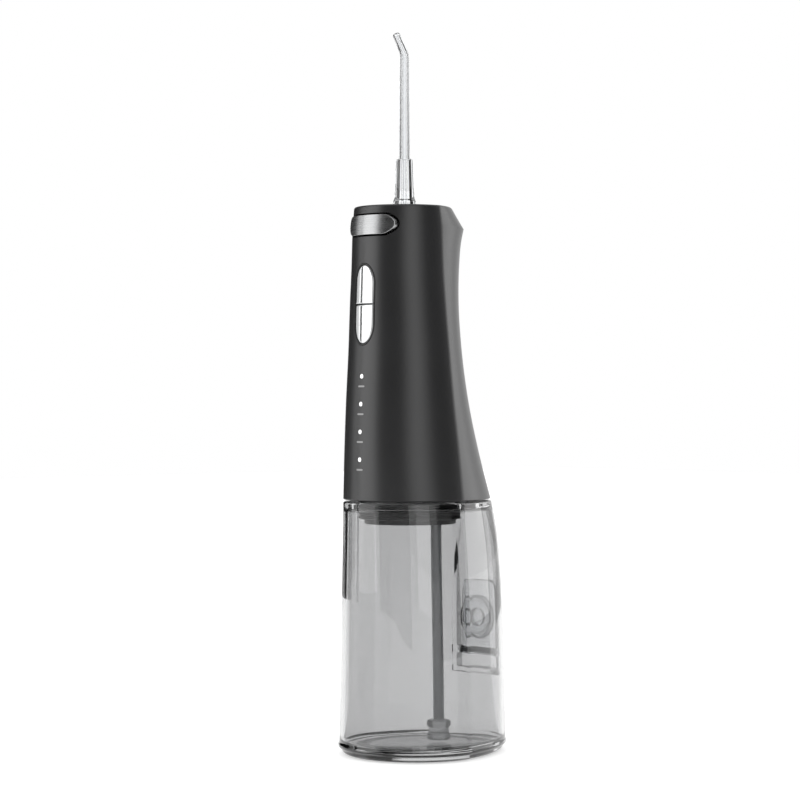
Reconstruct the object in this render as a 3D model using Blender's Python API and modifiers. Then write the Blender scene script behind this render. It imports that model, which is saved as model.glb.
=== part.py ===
"""Cordless water flosser: a handle with pump, motor and battery on a clear water tank, with a nozzle on top.

Metres, +Z up. The front, with the buttons, faces -Y, and the object is symmetric about X = 0.
The origin is the centre of the foot's footprint. "Behind" below means the distance behind the nozzle's axis.
"""

import math

import bmesh
import bpy
import numpy as np
from mathutils import Matrix, Vector

# ---------------------------------------------------------------- driving dimensions

TANK_HEIGHT = 0.1017
HANDLE_HEIGHT = 0.1172
SEAM_GAP = 0.0005
TANK_WALL = 0.0020
TANK_FLOOR = 0.0034
TANK_DECK = 0.0028
SHELL_WALL = 0.0018
SHELL_TOP_WALL = 0.0024
GAP = 0.0003  # between pieces that touch
RUNNING = 0.0001  # round a pin that turns

ROUND = 48  # sides of a large turned piece
SMALL_ROUND = 20
SECTION_POINTS = 48
CREASE = 0.4  # how far forward the back curve's centre lies, as a share of the back's depth

# Outlines of the handle and the tank: share of the height, half width, front, back, widest line.
# Front and back are distances from the nozzle's axis, and the widest line is how far behind it
# the side crease runs.
HANDLE_OUTLINE = (
    (0.00, 0.0280, 0.0240, 0.0404, 0.0060),
    (0.17, 0.0266, 0.0239, 0.0328, 0.0050),
    (0.34, 0.0252, 0.0233, 0.0269, 0.0035),
    (0.51, 0.0238, 0.0224, 0.0234, 0.0025),
    (0.68, 0.0225, 0.0219, 0.0225, 0.0015),
    (0.79, 0.0216, 0.0215, 0.0236, 0.0012),
    (0.89, 0.0212, 0.0212, 0.0256, 0.0010),
    (0.93, 0.0210, 0.0211, 0.0273, 0.0010),
)
HANDLE_TOP_OUTLINE = (1.00, 0.0203, 0.0203, 0.0190, 0.0005)
TOP_EDGE = 0.0008
TANK_OUTLINE = (
    (0.05, 0.0310, 0.0249, 0.0487, 0.0070),
    (0.31, 0.0306, 0.0243, 0.0483, 0.0070),
    (0.51, 0.0300, 0.0240, 0.0476, 0.0070),
    (0.69, 0.0295, 0.0239, 0.0465, 0.0068),
    (0.85, 0.0288, 0.0238, 0.0447, 0.0063),
    (0.925, 0.0284, 0.0238, 0.0430, 0.0061),
    (0.99, 0.0281, 0.0240, 0.0411, 0.0060),
)
# Foot of the tank: height, and how far the outline stands out of the wall there.
FOOT = (
    (0.0, -0.0034),
    (0.0005, -0.0018),
    (0.0013, -0.0010),
    (0.0023, -0.0008),
    (0.0027, 0.0002),
    (0.0035, 0.0005),
    (0.0044, 0.0003),
)

PLUG_BEHIND = 0.0030
NECK_RADIUS = 0.0212
PLUG_CLEARANCE = 0.00045
PLUG_RADIUS = NECK_RADIUS - PLUG_CLEARANCE
PLUG_DEPTH = 0.0076
PLUG_STEP_RADIUS = PLUG_RADIUS - 0.0024
PLUG_STEP = 0.0020
RIB_DEPTH = 0.0004
RIB_WIDTH = 0.0007
SEAL_GROOVE_DEPTH = 0.0014
SEAL_HEIGHT = 0.0014
BASE_PLATE = 0.0025

HOSE_RADIUS = 0.0022
HOSE_BEHIND = PLUG_BEHIND + PLUG_STEP_RADIUS - HOSE_RADIUS - 0.0018
WEIGHT_RADIUS = 0.0049
WEIGHT_HEIGHT = 0.0080
WEIGHT_BEHIND = PLUG_BEHIND + PLUG_RADIUS - WEIGHT_RADIUS
WEIGHT_ABOVE_FLOOR = 0.0010

POCKET_HALF_WIDTH = 0.0113
POCKET_BEHIND = 0.0410
POCKET_BOTTOM = 0.0317
POCKET_WALL = 0.0019
FILLER_HEIGHT = 0.0528
FILLER_RADIUS = 0.0080
FLAP_HALF_WIDTH = 0.0095
FLAP_TOP = 0.0680
FLAP_THICKNESS = 0.0016
FLAP_CORNER = 0.0050
HINGE_HEIGHT = 0.0388
HINGE_PIN_RADIUS = 0.0008
KNUCKLE_RADIUS = 0.0016
LUG_DEPTH = 0.0013  # behind the pin
LUG_WIDTH = 0.0015
SEAL_FLANGE_RADIUS = 0.0090
SEAL_FLANGE = 0.0010
SEAL_NOSE = 0.0022
SEAL_NOSE_RADIUS = 0.0073
SEAL_TIP_RADIUS = 0.0066
SEAL_DIMPLE_RADIUS = 0.0037

OVAL_HALF_WIDTH = 0.0051
OVAL_HALF_HEIGHT = 0.0155
OVAL_BELOW_TOP = 0.0393
BEZEL_WIDTH = 0.0007
BUTTON_GAP = 0.0002
BUTTON_PROUD = 0.0002
BUTTON_DEPTH = 0.0028
BUTTON_TRAVEL = 0.0004
PAD_THICKNESS = 0.0012
SWITCH_SIDE = 0.0060
SWITCH_THICKNESS = 0.0014
BOARD_THICKNESS = 0.0011
BOARD_HALF_WIDTH = 0.0090
LIGHT_COUNT = 4
LIGHT_RADIUS = 0.0009
LIGHT_PITCH = 0.0110
LIGHT_BELOW_OVAL = 0.0130
LIGHT_LENGTH = 0.0026

RELEASE_BELOW_TOP = 0.0079
RELEASE_HALF_WIDTH = 0.0134
RELEASE_HALF_HEIGHT = 0.0039
RELEASE_PROUD = 0.0009
RELEASE_DEPTH = 0.0024
RELEASE_TRAVEL = 0.0012
RELEASE_GAP = 0.0005
LATCH_THICKNESS = 0.0012
SPRING_RADIUS = 0.0018
SPRING_WIRE = 0.0003
SPRING_TURNS = 5
SPRING_LENGTH = 0.0070

NOZZLE_COLLAR_RADIUS = 0.00465
NOZZLE_COLLAR_TOP_RADIUS = 0.0035
NOZZLE_COLLAR_HEIGHT = 0.0190
NOZZLE_SHANK_RADIUS = 0.0024
NOZZLE_SHANK_DEPTH = 0.0150
NOZZLE_FOOT_RADIUS = 0.0022
NOZZLE_STRAIGHT = 0.0611
NOZZLE_NECK_RADIUS = 0.0019
NOZZLE_TIP_LENGTH = 0.0098
NOZZLE_TIP_LEAN = math.radians(31)
NOZZLE_TIP_RADIUS = 0.0014
NOZZLE_BORE_RADIUS = 0.0006
DIAL_RADIUS = 0.0080
DIAL_FLANGE_RADIUS = 0.0092
DIAL_SLEEVE_RADIUS = 0.0050
SEAT_RADIUS = 0.0070
SEAT_HEIGHT = 0.0080

MOTOR_RADIUS = 0.0100
MOTOR_LENGTH = 0.0270
MOTOR_SHAFT_RADIUS = 0.0010
AXLE_RADIUS = 0.0015
GEAR_MODULE = 0.0008
PINION_TEETH = 10
DRIVE_TEETH = 32
GEAR_THICKNESS = 0.0040
GEAR_BACKLASH = 0.00012
GEAR_BEHIND = -0.0070
GEARBOX_PLATE = 0.0015
CRANK_RADIUS = 0.0030
CRANK_PIN_RADIUS = 0.0012
CRANK_PIN_LENGTH = 0.0040
CRANK_PIN_CLEARANCE = 0.0005
ROD_HALF_THICKNESS = 0.0015
PISTON_RADIUS = 0.0036
CYLINDER_RADIUS = 0.0050
CYLINDER_START = 0.0105
CYLINDER_LENGTH = 0.0160
PUMP_CENTRE_ABOVE_PLATE = CYLINDER_RADIUS + 0.0003
PUMP_HEAD_LENGTH = 0.0040
PUMP_HEAD_HALF_WIDTH = 0.0054
VALVE_RADIUS = 0.0012
VALVE_APART = 0.0019
WATER_TUBE_RADIUS = 0.0015
POST_RADIUS = 0.0020
POST_FROM_BACK = 0.0125
SCREW_RADIUS = 0.0010
SCREW_HEAD_RADIUS = 0.0019
BATTERY_RADIUS = 0.0090
BATTERY_BEHIND = 0.0085
CHASSIS_HALF_WIDTH = 0.0120
CHASSIS_THICKNESS = 0.0015
CHASSIS_ARM = 0.0012

PORT_HALF_WIDTH = 0.0045
PORT_HALF_HEIGHT = 0.0016
PORT_DEPTH = 0.0062
PORT_ABOVE_GEARBOX = 0.0056
COVER_HALF_WIDTH = 0.0068
COVER_HALF_HEIGHT = 0.0050
COVER_THICKNESS = 0.0010

# ---------------------------------------------------------------- places worked out from them

HANDLE_BOTTOM = TANK_HEIGHT + SEAM_GAP
HANDLE_TOP = HANDLE_BOTTOM + HANDLE_HEIGHT
# The nozzle's axis lies forward of the footprint's centre, because the back of the tank reaches further.
NOZZLE_Y = (TANK_OUTLINE[0][2] - TANK_OUTLINE[0][3]) / 2
PLATE_BOTTOM = HANDLE_BOTTOM + GAP
PLATE_TOP = PLATE_BOTTOM + BASE_PLATE
PLUG_BOTTOM = HANDLE_BOTTOM - PLUG_DEPTH
BASE_BOTTOM = PLUG_BOTTOM - PLUG_STEP
PUMP_CENTRE = PLATE_TOP + PUMP_CENTRE_ABOVE_PLATE
CRANK_PIN_BOTTOM = PUMP_CENTRE + ROD_HALF_THICKNESS + CRANK_PIN_CLEARANCE
GEAR_BOTTOM = CRANK_PIN_BOTTOM + CRANK_PIN_LENGTH
GEARBOX_BOTTOM = GEAR_BOTTOM + GEAR_THICKNESS + GAP * 2
GEARBOX_TOP = GEARBOX_BOTTOM + GEARBOX_PLATE
GEAR_DISTANCE = GEAR_MODULE * (PINION_TEETH + DRIVE_TEETH) / 2 + 0.0001
MOTOR_BEHIND = GEAR_BEHIND + GEAR_DISTANCE
MOTOR_BOTTOM = GEARBOX_TOP + GAP
MOTOR_TOP = MOTOR_BOTTOM + MOTOR_LENGTH
OVAL_CENTRE = HANDLE_TOP - OVAL_BELOW_TOP
RELEASE_CENTRE = HANDLE_TOP - RELEASE_BELOW_TOP
SEAT_TOP = RELEASE_CENTRE - LATCH_THICKNESS / 2 - GAP * 2
SEAT_BOTTOM = SEAT_TOP - SEAT_HEIGHT
BATTERY_BOTTOM = MOTOR_TOP + 0.0012
BATTERY_TOP = SEAT_BOTTOM - 0.0020
COLLAR_BOTTOM = HANDLE_TOP + GAP
NOZZLE_BOTTOM = COLLAR_BOTTOM - NOZZLE_SHANK_DEPTH
SEAT_INLET = NOZZLE_BOTTOM + 0.0007
# Where the water tube meets the seat, seen from above.
SEAT_SIDE = np.array([0.95, 0.30]) * (SEAT_RADIUS + GAP)
CHASSIS_BACK = -0.0111
CHASSIS_BOTTOM = GEARBOX_TOP + 0.0004
TUBE_SIDE = MOTOR_RADIUS + WATER_TUBE_RADIUS + 0.0009
TUBE_HOLE = (0.6 * MOTOR_RADIUS + 0.0048, MOTOR_BEHIND + 0.0093)


# ---------------------------------------------------------------- helpers


def clear_scene():
    """Removes whatever the file starts with."""
    for item in list(bpy.data.objects):
        bpy.data.objects.remove(item, do_unlink=True)


clear_scene()
PARTS = bpy.data.collections.new("water_flosser")
CUTTERS = bpy.data.collections.new("cutters")
bpy.context.scene.collection.children.link(PARTS)
bpy.context.scene.collection.children.link(CUTTERS)


def finish(name, color, roughness, metallic=0.0, transmission=0.0):
    """A plain material."""
    material = bpy.data.materials.new(name)
    material.use_nodes = True
    shader = material.node_tree.nodes["Principled BSDF"]
    shader.inputs["Base Color"].default_value = (*color, 1.0)
    shader.inputs["Roughness"].default_value = roughness
    shader.inputs["Metallic"].default_value = metallic
    shader.inputs["Transmission Weight"].default_value = transmission
    return material


DARK_PLASTIC = finish("dark_plastic", (0.045, 0.045, 0.047), 0.38)
BLACK_PLASTIC = finish("black_plastic", (0.012, 0.012, 0.013), 0.45)
SMOKED_PLASTIC = finish("smoked_plastic", (0.55, 0.56, 0.57), 0.06, transmission=0.9)
CLEAR_PLASTIC = finish("clear_plastic", (0.93, 0.95, 0.96), 0.05, transmission=0.95)
CHROME = finish("chrome", (0.86, 0.87, 0.88), 0.08, metallic=1.0)
STEEL = finish("steel", (0.62, 0.63, 0.65), 0.28, metallic=1.0)
BRASS = finish("brass", (0.72, 0.55, 0.27), 0.3, metallic=1.0)
WHITE_ACETAL = finish("white_acetal", (0.83, 0.83, 0.80), 0.4)
SOFT_BLACK = finish("soft_black_rubber", (0.02, 0.02, 0.02), 0.75)
CLEAR_RUBBER = finish("clear_rubber", (0.62, 0.64, 0.66), 0.35, transmission=0.5)
GREY_SILICONE = finish("grey_silicone", (0.42, 0.43, 0.44), 0.5)
BOARD_GREEN = finish("board_green", (0.02, 0.16, 0.07), 0.5)
BATTERY_WRAP = finish("battery_wrap", (0.05, 0.16, 0.42), 0.4)
LIGHT_WHITE = finish("light_white", (0.95, 0.95, 0.95), 0.3)


def behind(x, y, z):
    """A point given by its distance behind the nozzle's axis."""
    return Vector((x, NOZZLE_Y + y, z))


def keep(item, material, helper=False):
    """Puts an object in its collection and gives it its material."""
    for collection in list(item.users_collection):
        collection.objects.unlink(item)
    (CUTTERS if helper else PARTS).objects.link(item)
    item.hide_render = helper
    item.display_type = "WIRE" if helper else "TEXTURED"
    if material:
        item.data.materials.clear()
        item.data.materials.append(material)
    return item


def mesh_object(name, points, faces, material=None, helper=False):
    """An object from points and faces."""
    mesh = bpy.data.meshes.new(name)
    mesh.from_pydata([tuple(p) for p in points], [], faces)
    mesh.update()
    item = bpy.data.objects.new(name, mesh)
    CUTTERS.objects.link(item)
    return keep(item, material, helper)


def modify(item, cutter, operation):
    """Adds an exact Boolean to a piece."""
    modifier = item.modifiers.new(f"{operation.lower()} {cutter.name}", "BOOLEAN")
    modifier.operation = operation
    modifier.object = cutter
    modifier.solver = "EXACT"
    return item


def cut(item, *cutters):
    """Takes the cutters away from a piece."""
    for cutter in cutters:
        modify(item, cutter, "DIFFERENCE")
    return item


def join(item, *others):
    """Adds other solids to a piece."""
    for other in others:
        modify(item, other, "UNION")
    return item


def round_shading(item, angle=math.radians(35)):
    """Smooth shading with sharp edges kept above the angle."""
    item.data.shade_smooth()
    item.data.set_sharp_from_angle(angle=angle)
    return item


def bake_scale(item):
    """Moves an object's scale into its mesh."""
    item.data.transform(Matrix.Diagonal((*item.scale, 1.0)))
    item.scale = (1, 1, 1)
    return item


def block(name, low, high, material=None, helper=False, bevel=0.0):
    """A box between two corners, its edges rounded where bevel is given."""
    low, high = Vector(low), Vector(high)
    bpy.ops.mesh.primitive_cube_add(size=1, location=(low + high) / 2)
    item = bpy.context.object
    item.name = name
    item.scale = high - low
    bake_scale(item)
    if bevel:
        rounding = item.modifiers.new("rounded edges", "BEVEL")
        rounding.width = bevel
        rounding.segments = 2
    return keep(item, material, helper)


def cylinder(name, start, end, radius, material=None, helper=False, sides=SMALL_ROUND, end_radius=None):
    """A round bar from start to end, tapered where end_radius is given."""
    start, end = Vector(start), Vector(end)
    run = end - start
    mesh = bpy.data.meshes.new(name)
    shape = bmesh.new()
    bmesh.ops.create_cone(
        shape,
        cap_ends=True,
        segments=sides,
        radius1=radius,
        radius2=radius if end_radius is None else end_radius,
        depth=run.length,
    )
    shape.to_mesh(mesh)
    shape.free()
    item = bpy.data.objects.new(name, mesh)
    item.location = (start + end) / 2
    item.rotation_euler = run.to_track_quat("Z", "Y").to_euler()
    CUTTERS.objects.link(item)
    return round_shading(keep(item, material, helper))


def turned(name, profile, place, material=None, helper=False, sides=ROUND, turn=None, ring=False):
    """A turned piece from (radius, height) points, down the outer side; ring closes the loop."""
    mesh = bpy.data.meshes.new(name)
    count = len(profile)
    edges = [(i, i + 1) for i in range(count - 1)]
    if ring:
        edges.append((count - 1, 0))
    mesh.from_pydata([(r, 0.0, z) for r, z in profile], edges, [])
    item = bpy.data.objects.new(name, mesh)
    item.location = place
    if turn:
        item.rotation_euler = turn
    screw = item.modifiers.new("turned", "SCREW")
    screw.steps = screw.render_steps = sides
    screw.use_merge_vertices = True
    screw.merge_threshold = 0.000001
    screw.use_smooth_shade = False
    CUTTERS.objects.link(item)
    return keep(item, material, helper)


def tube(name, points, radii, material, helper=False, resolution=2):
    """A round tube along the points, with a radius at each point."""
    curve = bpy.data.curves.new(name, "CURVE")
    curve.dimensions = "3D"
    curve.bevel_depth = max(radii)
    curve.bevel_resolution = resolution
    curve.use_fill_caps = True
    line = curve.splines.new("POLY")
    line.points.add(len(points) - 1)
    for point, place, radius in zip(line.points, points, radii):
        point.co = (*place, 1.0)
        point.radius = radius / max(radii)
    item = bpy.data.objects.new(name, curve)
    CUTTERS.objects.link(item)
    return keep(item, material, helper)


def outline_plate(name, outline, low_y, high_y, material=None, helper=False):
    """A flat outline in X and Z, from low_y to high_y."""
    curve = bpy.data.curves.new(name, "CURVE")
    curve.dimensions = "2D"
    curve.fill_mode = "BOTH"
    curve.extrude = (high_y - low_y) / 2
    line = curve.splines.new("POLY")
    line.points.add(len(outline) - 1)
    for point, (x, z) in zip(line.points, outline):
        point.co = (x, z, 0.0, 1.0)
    line.use_cyclic_u = True
    item = bpy.data.objects.new(name, curve)
    item.location = (0.0, (low_y + high_y) / 2, 0.0)
    item.rotation_euler = (math.pi / 2, 0.0, 0.0)
    CUTTERS.objects.link(item)
    return made_mesh(keep(item, material, helper))


def made_mesh(item):
    """The curve as a welded mesh with its faces outwards, in the curve's place."""
    bpy.context.view_layer.update()
    graph = bpy.context.evaluated_depsgraph_get()
    mesh = bpy.data.meshes.new_from_object(item.evaluated_get(graph))
    shape = bmesh.new()
    shape.from_mesh(mesh)
    bmesh.ops.remove_doubles(shape, verts=shape.verts, dist=0.000001)
    bmesh.ops.recalc_face_normals(shape, faces=shape.faces)
    shape.to_mesh(mesh)
    shape.free()
    name, helper, place = item.name, item.hide_render, item.matrix_world.copy()
    material = item.data.materials[0] if item.data.materials else None
    bpy.data.objects.remove(item, do_unlink=True)
    solid = bpy.data.objects.new(name, mesh)
    CUTTERS.objects.link(solid)
    solid.matrix_world = place
    return keep(solid, material, helper)


def smooth_between(outline, share):
    """The outline's sizes at a share of its height, on a smooth curve through its stations."""
    table = np.array(outline)
    heights, sizes = table[:, 0], table[:, 1:]
    slopes = np.gradient(sizes, heights, axis=0)
    share = min(max(share, heights[0]), heights[-1])
    low = min(int(np.searchsorted(heights, share, side="right")) - 1, len(heights) - 2)
    span = heights[low + 1] - heights[low]
    t = (share - heights[low]) / span
    return (
        (2 * t**3 - 3 * t**2 + 1) * sizes[low]
        + (t**3 - 2 * t**2 + t) * span * slopes[low]
        + (3 * t**2 - 2 * t**3) * sizes[low + 1]
        + (t**3 - t**2) * span * slopes[low + 1]
    )


def handle_sizes(height):
    """Half width, front, back and widest line of the handle at a height."""
    share = (height - HANDLE_BOTTOM) / HANDLE_HEIGHT
    chamfer = HANDLE_OUTLINE[-1][0]
    if share <= chamfer:
        return smooth_between(HANDLE_OUTLINE, share)
    t = (share - chamfer) / (1 - chamfer)
    return (1 - t) * np.array(HANDLE_OUTLINE[-1][1:]) + t * np.array(HANDLE_TOP_OUTLINE[1:])


def tank_sizes(height):
    """The tank's half width, front, back and widest line at a height."""
    return smooth_between(TANK_OUTLINE, height / TANK_HEIGHT)


def section(sizes, height, offset=0.0):
    """One ring, moved out by offset: half an ellipse in front, an arc of a longer one behind the crease."""
    half_width, front, back, middle = sizes
    half_width, front, back = half_width + offset, front + offset, back + offset
    half = SECTION_POINTS // 2
    angles = np.linspace(-math.pi / 2, math.pi / 2, half + 1)
    front_x = half_width * np.sin(angles)
    front_y = middle - (front + middle) * np.cos(angles)
    shift = CREASE * (back - middle)
    depth = back - middle + shift
    start = math.asin(shift / depth)
    angles = np.linspace(start, math.pi - start, half + 1)[1:-1]
    back_x = half_width / math.cos(start) * np.cos(angles)
    back_y = middle - shift + depth * np.sin(angles)
    xs = np.concatenate([front_x, back_x])
    ys = np.concatenate([front_y, back_y]) + NOZZLE_Y
    return np.stack([xs, ys, np.full_like(xs, height)], axis=1)


def circle(radius, y, height):
    """A ring of as many points as a section, starting at its left side."""
    half = SECTION_POINTS // 2
    angles = np.concatenate(
        [
            np.linspace(-math.pi, 0.0, half + 1),
            np.linspace(0.0, math.pi, half + 1)[1:-1],
        ]
    )
    xs, ys = radius * np.cos(angles), NOZZLE_Y + y + radius * np.sin(angles)
    return np.stack([xs, ys, np.full_like(xs, height)], axis=1)


def loft(name, rings, material=None, helper=False):
    """A closed skin through rings of equal count, from the lowest outside ring, capped at both ends."""
    count = SECTION_POINTS
    faces = [tuple(reversed(range(count)))]
    for row in range(len(rings) - 1):
        for i in range(count):
            j = (i + 1) % count
            low, high = row * count, (row + 1) * count
            faces.append((low + i, low + j, high + j, high + i))
    last = (len(rings) - 1) * count
    faces.append(tuple(range(last, last + count)))
    return round_shading(mesh_object(name, np.concatenate(rings), faces, material, helper))


def handle_ring(height, offset=0.0):
    """The handle's outline at one height, moved out by offset."""
    return section(handle_sizes(height), height, offset)


def tank_ring(height, offset=0.0):
    """The tank's outline at one height, moved out by offset."""
    return section(tank_sizes(height), height, offset)


def station_heights(outline, bottom, length):
    """Heights of an outline's stations between a bottom and the height above it."""
    return [bottom + row[0] * length for row in outline]


# ---------------------------------------------------------------- tank

TANK_STATIONS = station_heights(TANK_OUTLINE, 0.0, TANK_HEIGHT)
DECK_BOTTOM = TANK_HEIGHT - TANK_DECK
HINGE = behind(0.0, POCKET_BEHIND + KNUCKLE_RADIUS + GAP, HINGE_HEIGHT)


def tank_inside():
    """The water space with the neck above it, less the filler pocket's own walls."""
    heights = [h for h in TANK_STATIONS if TANK_FLOOR + 0.004 < h < DECK_BOTTOM - 0.002]
    rings = [
        tank_ring(TANK_FLOOR, -TANK_WALL - 0.0016),
        tank_ring(TANK_FLOOR + 0.0016, -TANK_WALL),
        *[tank_ring(h, -TANK_WALL) for h in heights],
        tank_ring(DECK_BOTTOM - 0.0012, -TANK_WALL),
        tank_ring(DECK_BOTTOM, -TANK_WALL - 0.0012),
        circle(NECK_RADIUS, PLUG_BEHIND, DECK_BOTTOM),
        circle(NECK_RADIUS, PLUG_BEHIND, TANK_HEIGHT + 0.003),
    ]
    inside = loft("tank_inside", rings, helper=True)
    reach = POCKET_HALF_WIDTH + POCKET_WALL
    walls = block(
        "pocket_walls",
        behind(-reach, POCKET_BEHIND - POCKET_WALL, POCKET_BOTTOM - POCKET_WALL),
        behind(reach, 0.08, TANK_HEIGHT + 0.01),
        helper=True,
    )
    return cut(inside, walls)


def water_tank():
    """The clear tank: wall, thick floor, deck with the neck, and the filler's pocket with its two lugs."""
    rings = [tank_ring(height, offset) for height, offset in FOOT]
    rings += [tank_ring(h) for h in TANK_STATIONS]
    rings += [tank_ring(TANK_HEIGHT - 0.0003, -0.0003), tank_ring(TANK_HEIGHT, -0.0010)]
    tank = loft("water_tank", rings, SMOKED_PLASTIC)
    pocket = block(
        "filler_pocket",
        behind(-POCKET_HALF_WIDTH, POCKET_BEHIND, POCKET_BOTTOM),
        behind(POCKET_HALF_WIDTH, 0.08, TANK_HEIGHT + 0.01),
        helper=True,
    )
    cut(tank, tank_inside(), pocket)
    for side, name in ((-1, "left"), (1, "right")):
        xs = sorted((side * (POCKET_HALF_WIDTH - LUG_WIDTH), side * (POCKET_HALF_WIDTH + 0.0002)))
        lug = block(
            f"hinge_lug_{name}",
            (xs[0], NOZZLE_Y + POCKET_BEHIND - 0.0005, HINGE_HEIGHT - KNUCKLE_RADIUS),
            (xs[1], HINGE.y + LUG_DEPTH, HINGE_HEIGHT + KNUCKLE_RADIUS),
            helper=True,
        )
        join(tank, lug)
    filler = cylinder(
        "filler_hole",
        behind(0, POCKET_BEHIND - POCKET_WALL - 0.002, FILLER_HEIGHT),
        behind(0, POCKET_BEHIND + 0.002, FILLER_HEIGHT),
        FILLER_RADIUS,
        helper=True,
        sides=32,
    )
    pin_hole = cylinder(
        "flap_pin_hole",
        (-POCKET_HALF_WIDTH, HINGE.y, HINGE.z),
        (POCKET_HALF_WIDTH, HINGE.y, HINGE.z),
        HINGE_PIN_RADIUS + RUNNING,
        helper=True,
    )
    return cut(tank, filler, pin_hole)


def arch_outline(half_width, bottom, top, corner, steps=5):
    """An upright plate's outline in X and Z, round at its top corners, from lower left to lower right."""
    turns = [math.pi / 2 * i / steps for i in range(steps + 1)]
    left = [
        (-half_width + corner - corner * math.cos(t), top - corner + corner * math.sin(t))
        for t in turns
    ]
    right = [(-x, z) for x, z in reversed(left)]
    return [(-half_width, bottom), *left, *right, (half_width, bottom)]


def filler_flap():
    """The flap lies over the filler hole and turns on a knuckle at its lower edge."""
    inner = NOZZLE_Y + POCKET_BEHIND + SEAL_FLANGE + 2 * GAP
    outline = arch_outline(FLAP_HALF_WIDTH, HINGE_HEIGHT, FLAP_TOP, FLAP_CORNER)
    flap = outline_plate("filler_flap", outline, inner, inner + FLAP_THICKNESS, CLEAR_PLASTIC)
    half = POCKET_HALF_WIDTH - LUG_WIDTH - GAP
    ends = [(x, HINGE.y, HINGE.z) for x in (-half, half)]
    knuckle = cylinder("flap_knuckle", *ends, KNUCKLE_RADIUS, helper=True)
    bore = cylinder(
        "flap_knuckle_bore",
        (-half - 0.001, HINGE.y, HINGE.z),
        (half + 0.001, HINGE.y, HINGE.z),
        HINGE_PIN_RADIUS + RUNNING,
        helper=True,
    )
    join(flap, knuckle)
    return cut(flap, bore)


def flap_hinge_pin():
    """The steel pin that the filler's flap turns on."""
    half = POCKET_HALF_WIDTH - GAP
    return cylinder(
        "flap_hinge_pin", (-half, HINGE.y, HINGE.z), (half, HINGE.y, HINGE.z), HINGE_PIN_RADIUS, STEEL
    )


def filler_seal():
    """The soft plug on the flap: a flange outside the hole and a tapered nose in it."""
    thickness = SEAL_FLANGE
    profile = [
        (0.0, thickness),
        (SEAL_FLANGE_RADIUS, thickness),
        (SEAL_FLANGE_RADIUS, 0.0),
        (SEAL_NOSE_RADIUS, 0.0),
        (SEAL_TIP_RADIUS, -SEAL_NOSE),
        (SEAL_DIMPLE_RADIUS, -SEAL_NOSE),
        (SEAL_DIMPLE_RADIUS, thickness * 0.4),
        (0.0, thickness * 0.4),
    ]
    place = behind(0, POCKET_BEHIND + GAP, FILLER_HEIGHT)
    return turned("filler_seal", profile, place, CLEAR_RUBBER, sides=32, turn=(-math.pi / 2, 0, 0))


water_tank()
filler_flap()
flap_hinge_pin()
filler_seal()

# ---------------------------------------------------------------- handle shell and its base


def handle_rings(offset=0.0):
    """Rings of the handle's whole outline, moved out by offset."""
    rings = [handle_ring(h, offset) for h in station_heights(HANDLE_OUTLINE, HANDLE_BOTTOM, HANDLE_HEIGHT)]
    return [*rings, handle_ring(HANDLE_TOP - TOP_EDGE, offset), handle_ring(HANDLE_TOP, offset - TOP_EDGE)]


def port_frame():
    """Where the charging port's cover lies: its centre on the back, and the back's lean from vertical."""
    height = GEARBOX_TOP + PORT_ABOVE_GEARBOX
    step = 0.004
    low, high = handle_sizes(height - step)[2], handle_sizes(height + step)[2]
    lean = math.atan2(low - high, 2 * step)
    return behind(0, handle_sizes(height)[2], height), lean


PORT, PORT_LEAN = port_frame()
PORT_TURN = Matrix.Translation(PORT) @ Matrix.Rotation(PORT_LEAN, 4, "X")


def on_port(item):
    """Moves a piece built about the origin, with +Y out of the back, to the port."""
    item.matrix_world = PORT_TURN @ item.matrix_world
    return item


def cover_patch(name, grow, proud, material=None, helper=False):
    """The charging cover's place on the back: from a cover's thickness inside the surface to proud of it."""
    patch = on_port(
        block(
            name,
            (-COVER_HALF_WIDTH - grow, -0.008, -COVER_HALF_HEIGHT - grow),
            (COVER_HALF_WIDTH + grow, 0.006, COVER_HALF_HEIGHT + grow),
            material,
            helper,
        )
    )
    outer = loft(f"{name}_outside", handle_rings(proud), helper=True)
    modify(patch, outer, "INTERSECT")
    return cut(patch, loft(f"{name}_inside", handle_rings(-COVER_THICKNESS - grow), helper=True))


def oval_outline(grow=0.0, half=0, steps=8):
    """The button oval in X and Z with pointed round ends; half 1 is its upper part and -1 its lower part."""
    half_width, half_height = OVAL_HALF_WIDTH + grow, OVAL_HALF_HEIGHT + grow
    arch = 1.45 * half_width
    turns = [math.pi / 2 * i / steps for i in range(steps + 1)]
    quarter = [(half_width * math.cos(t), half_height - arch + arch * math.sin(t)) for t in turns]
    upper = quarter + [(-x, z) for x, z in reversed(quarter[:-1])]
    lower = [(-x, -z) for x, z in upper]
    if half > 0:
        lower = [(-half_width, BUTTON_GAP), (half_width, BUTTON_GAP)]
    if half < 0:
        upper = [(half_width, -BUTTON_GAP), (-half_width, -BUTTON_GAP)]
    return [(x, OVAL_CENTRE + z) for x, z in upper + lower]


def release_outline(grow=0.0):
    """The release button's band in X and Z: straight in the middle, drawn to a blunt point at each end."""
    wide, tall = RELEASE_HALF_WIDTH + grow, RELEASE_HALF_HEIGHT + grow
    blunt = 0.0012 + grow / 2
    right = [
        (0.72 * wide, -tall),
        (0.86 * wide, -0.72 * tall),
        (wide, -blunt),
        (wide, blunt),
        (0.86 * wide, 0.80 * tall),
        (0.72 * wide, tall),
    ]
    left = [(-x, z) for x, z in reversed(right)]
    return [(x, RELEASE_CENTRE + z) for x, z in right + left]


def light_heights():
    """The status lights run down from below the oval, closer together on a short handle."""
    first = OVAL_CENTRE - OVAL_HALF_HEIGHT - LIGHT_BELOW_OVAL
    room = first - HANDLE_BOTTOM - 0.010
    pitch = min(LIGHT_PITCH, room / (LIGHT_COUNT - 1))
    return [first - i * pitch for i in range(LIGHT_COUNT)]


def handle_front(height):
    """How far the front surface lies from the nozzle's axis."""
    return handle_sizes(height)[1]


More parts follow.
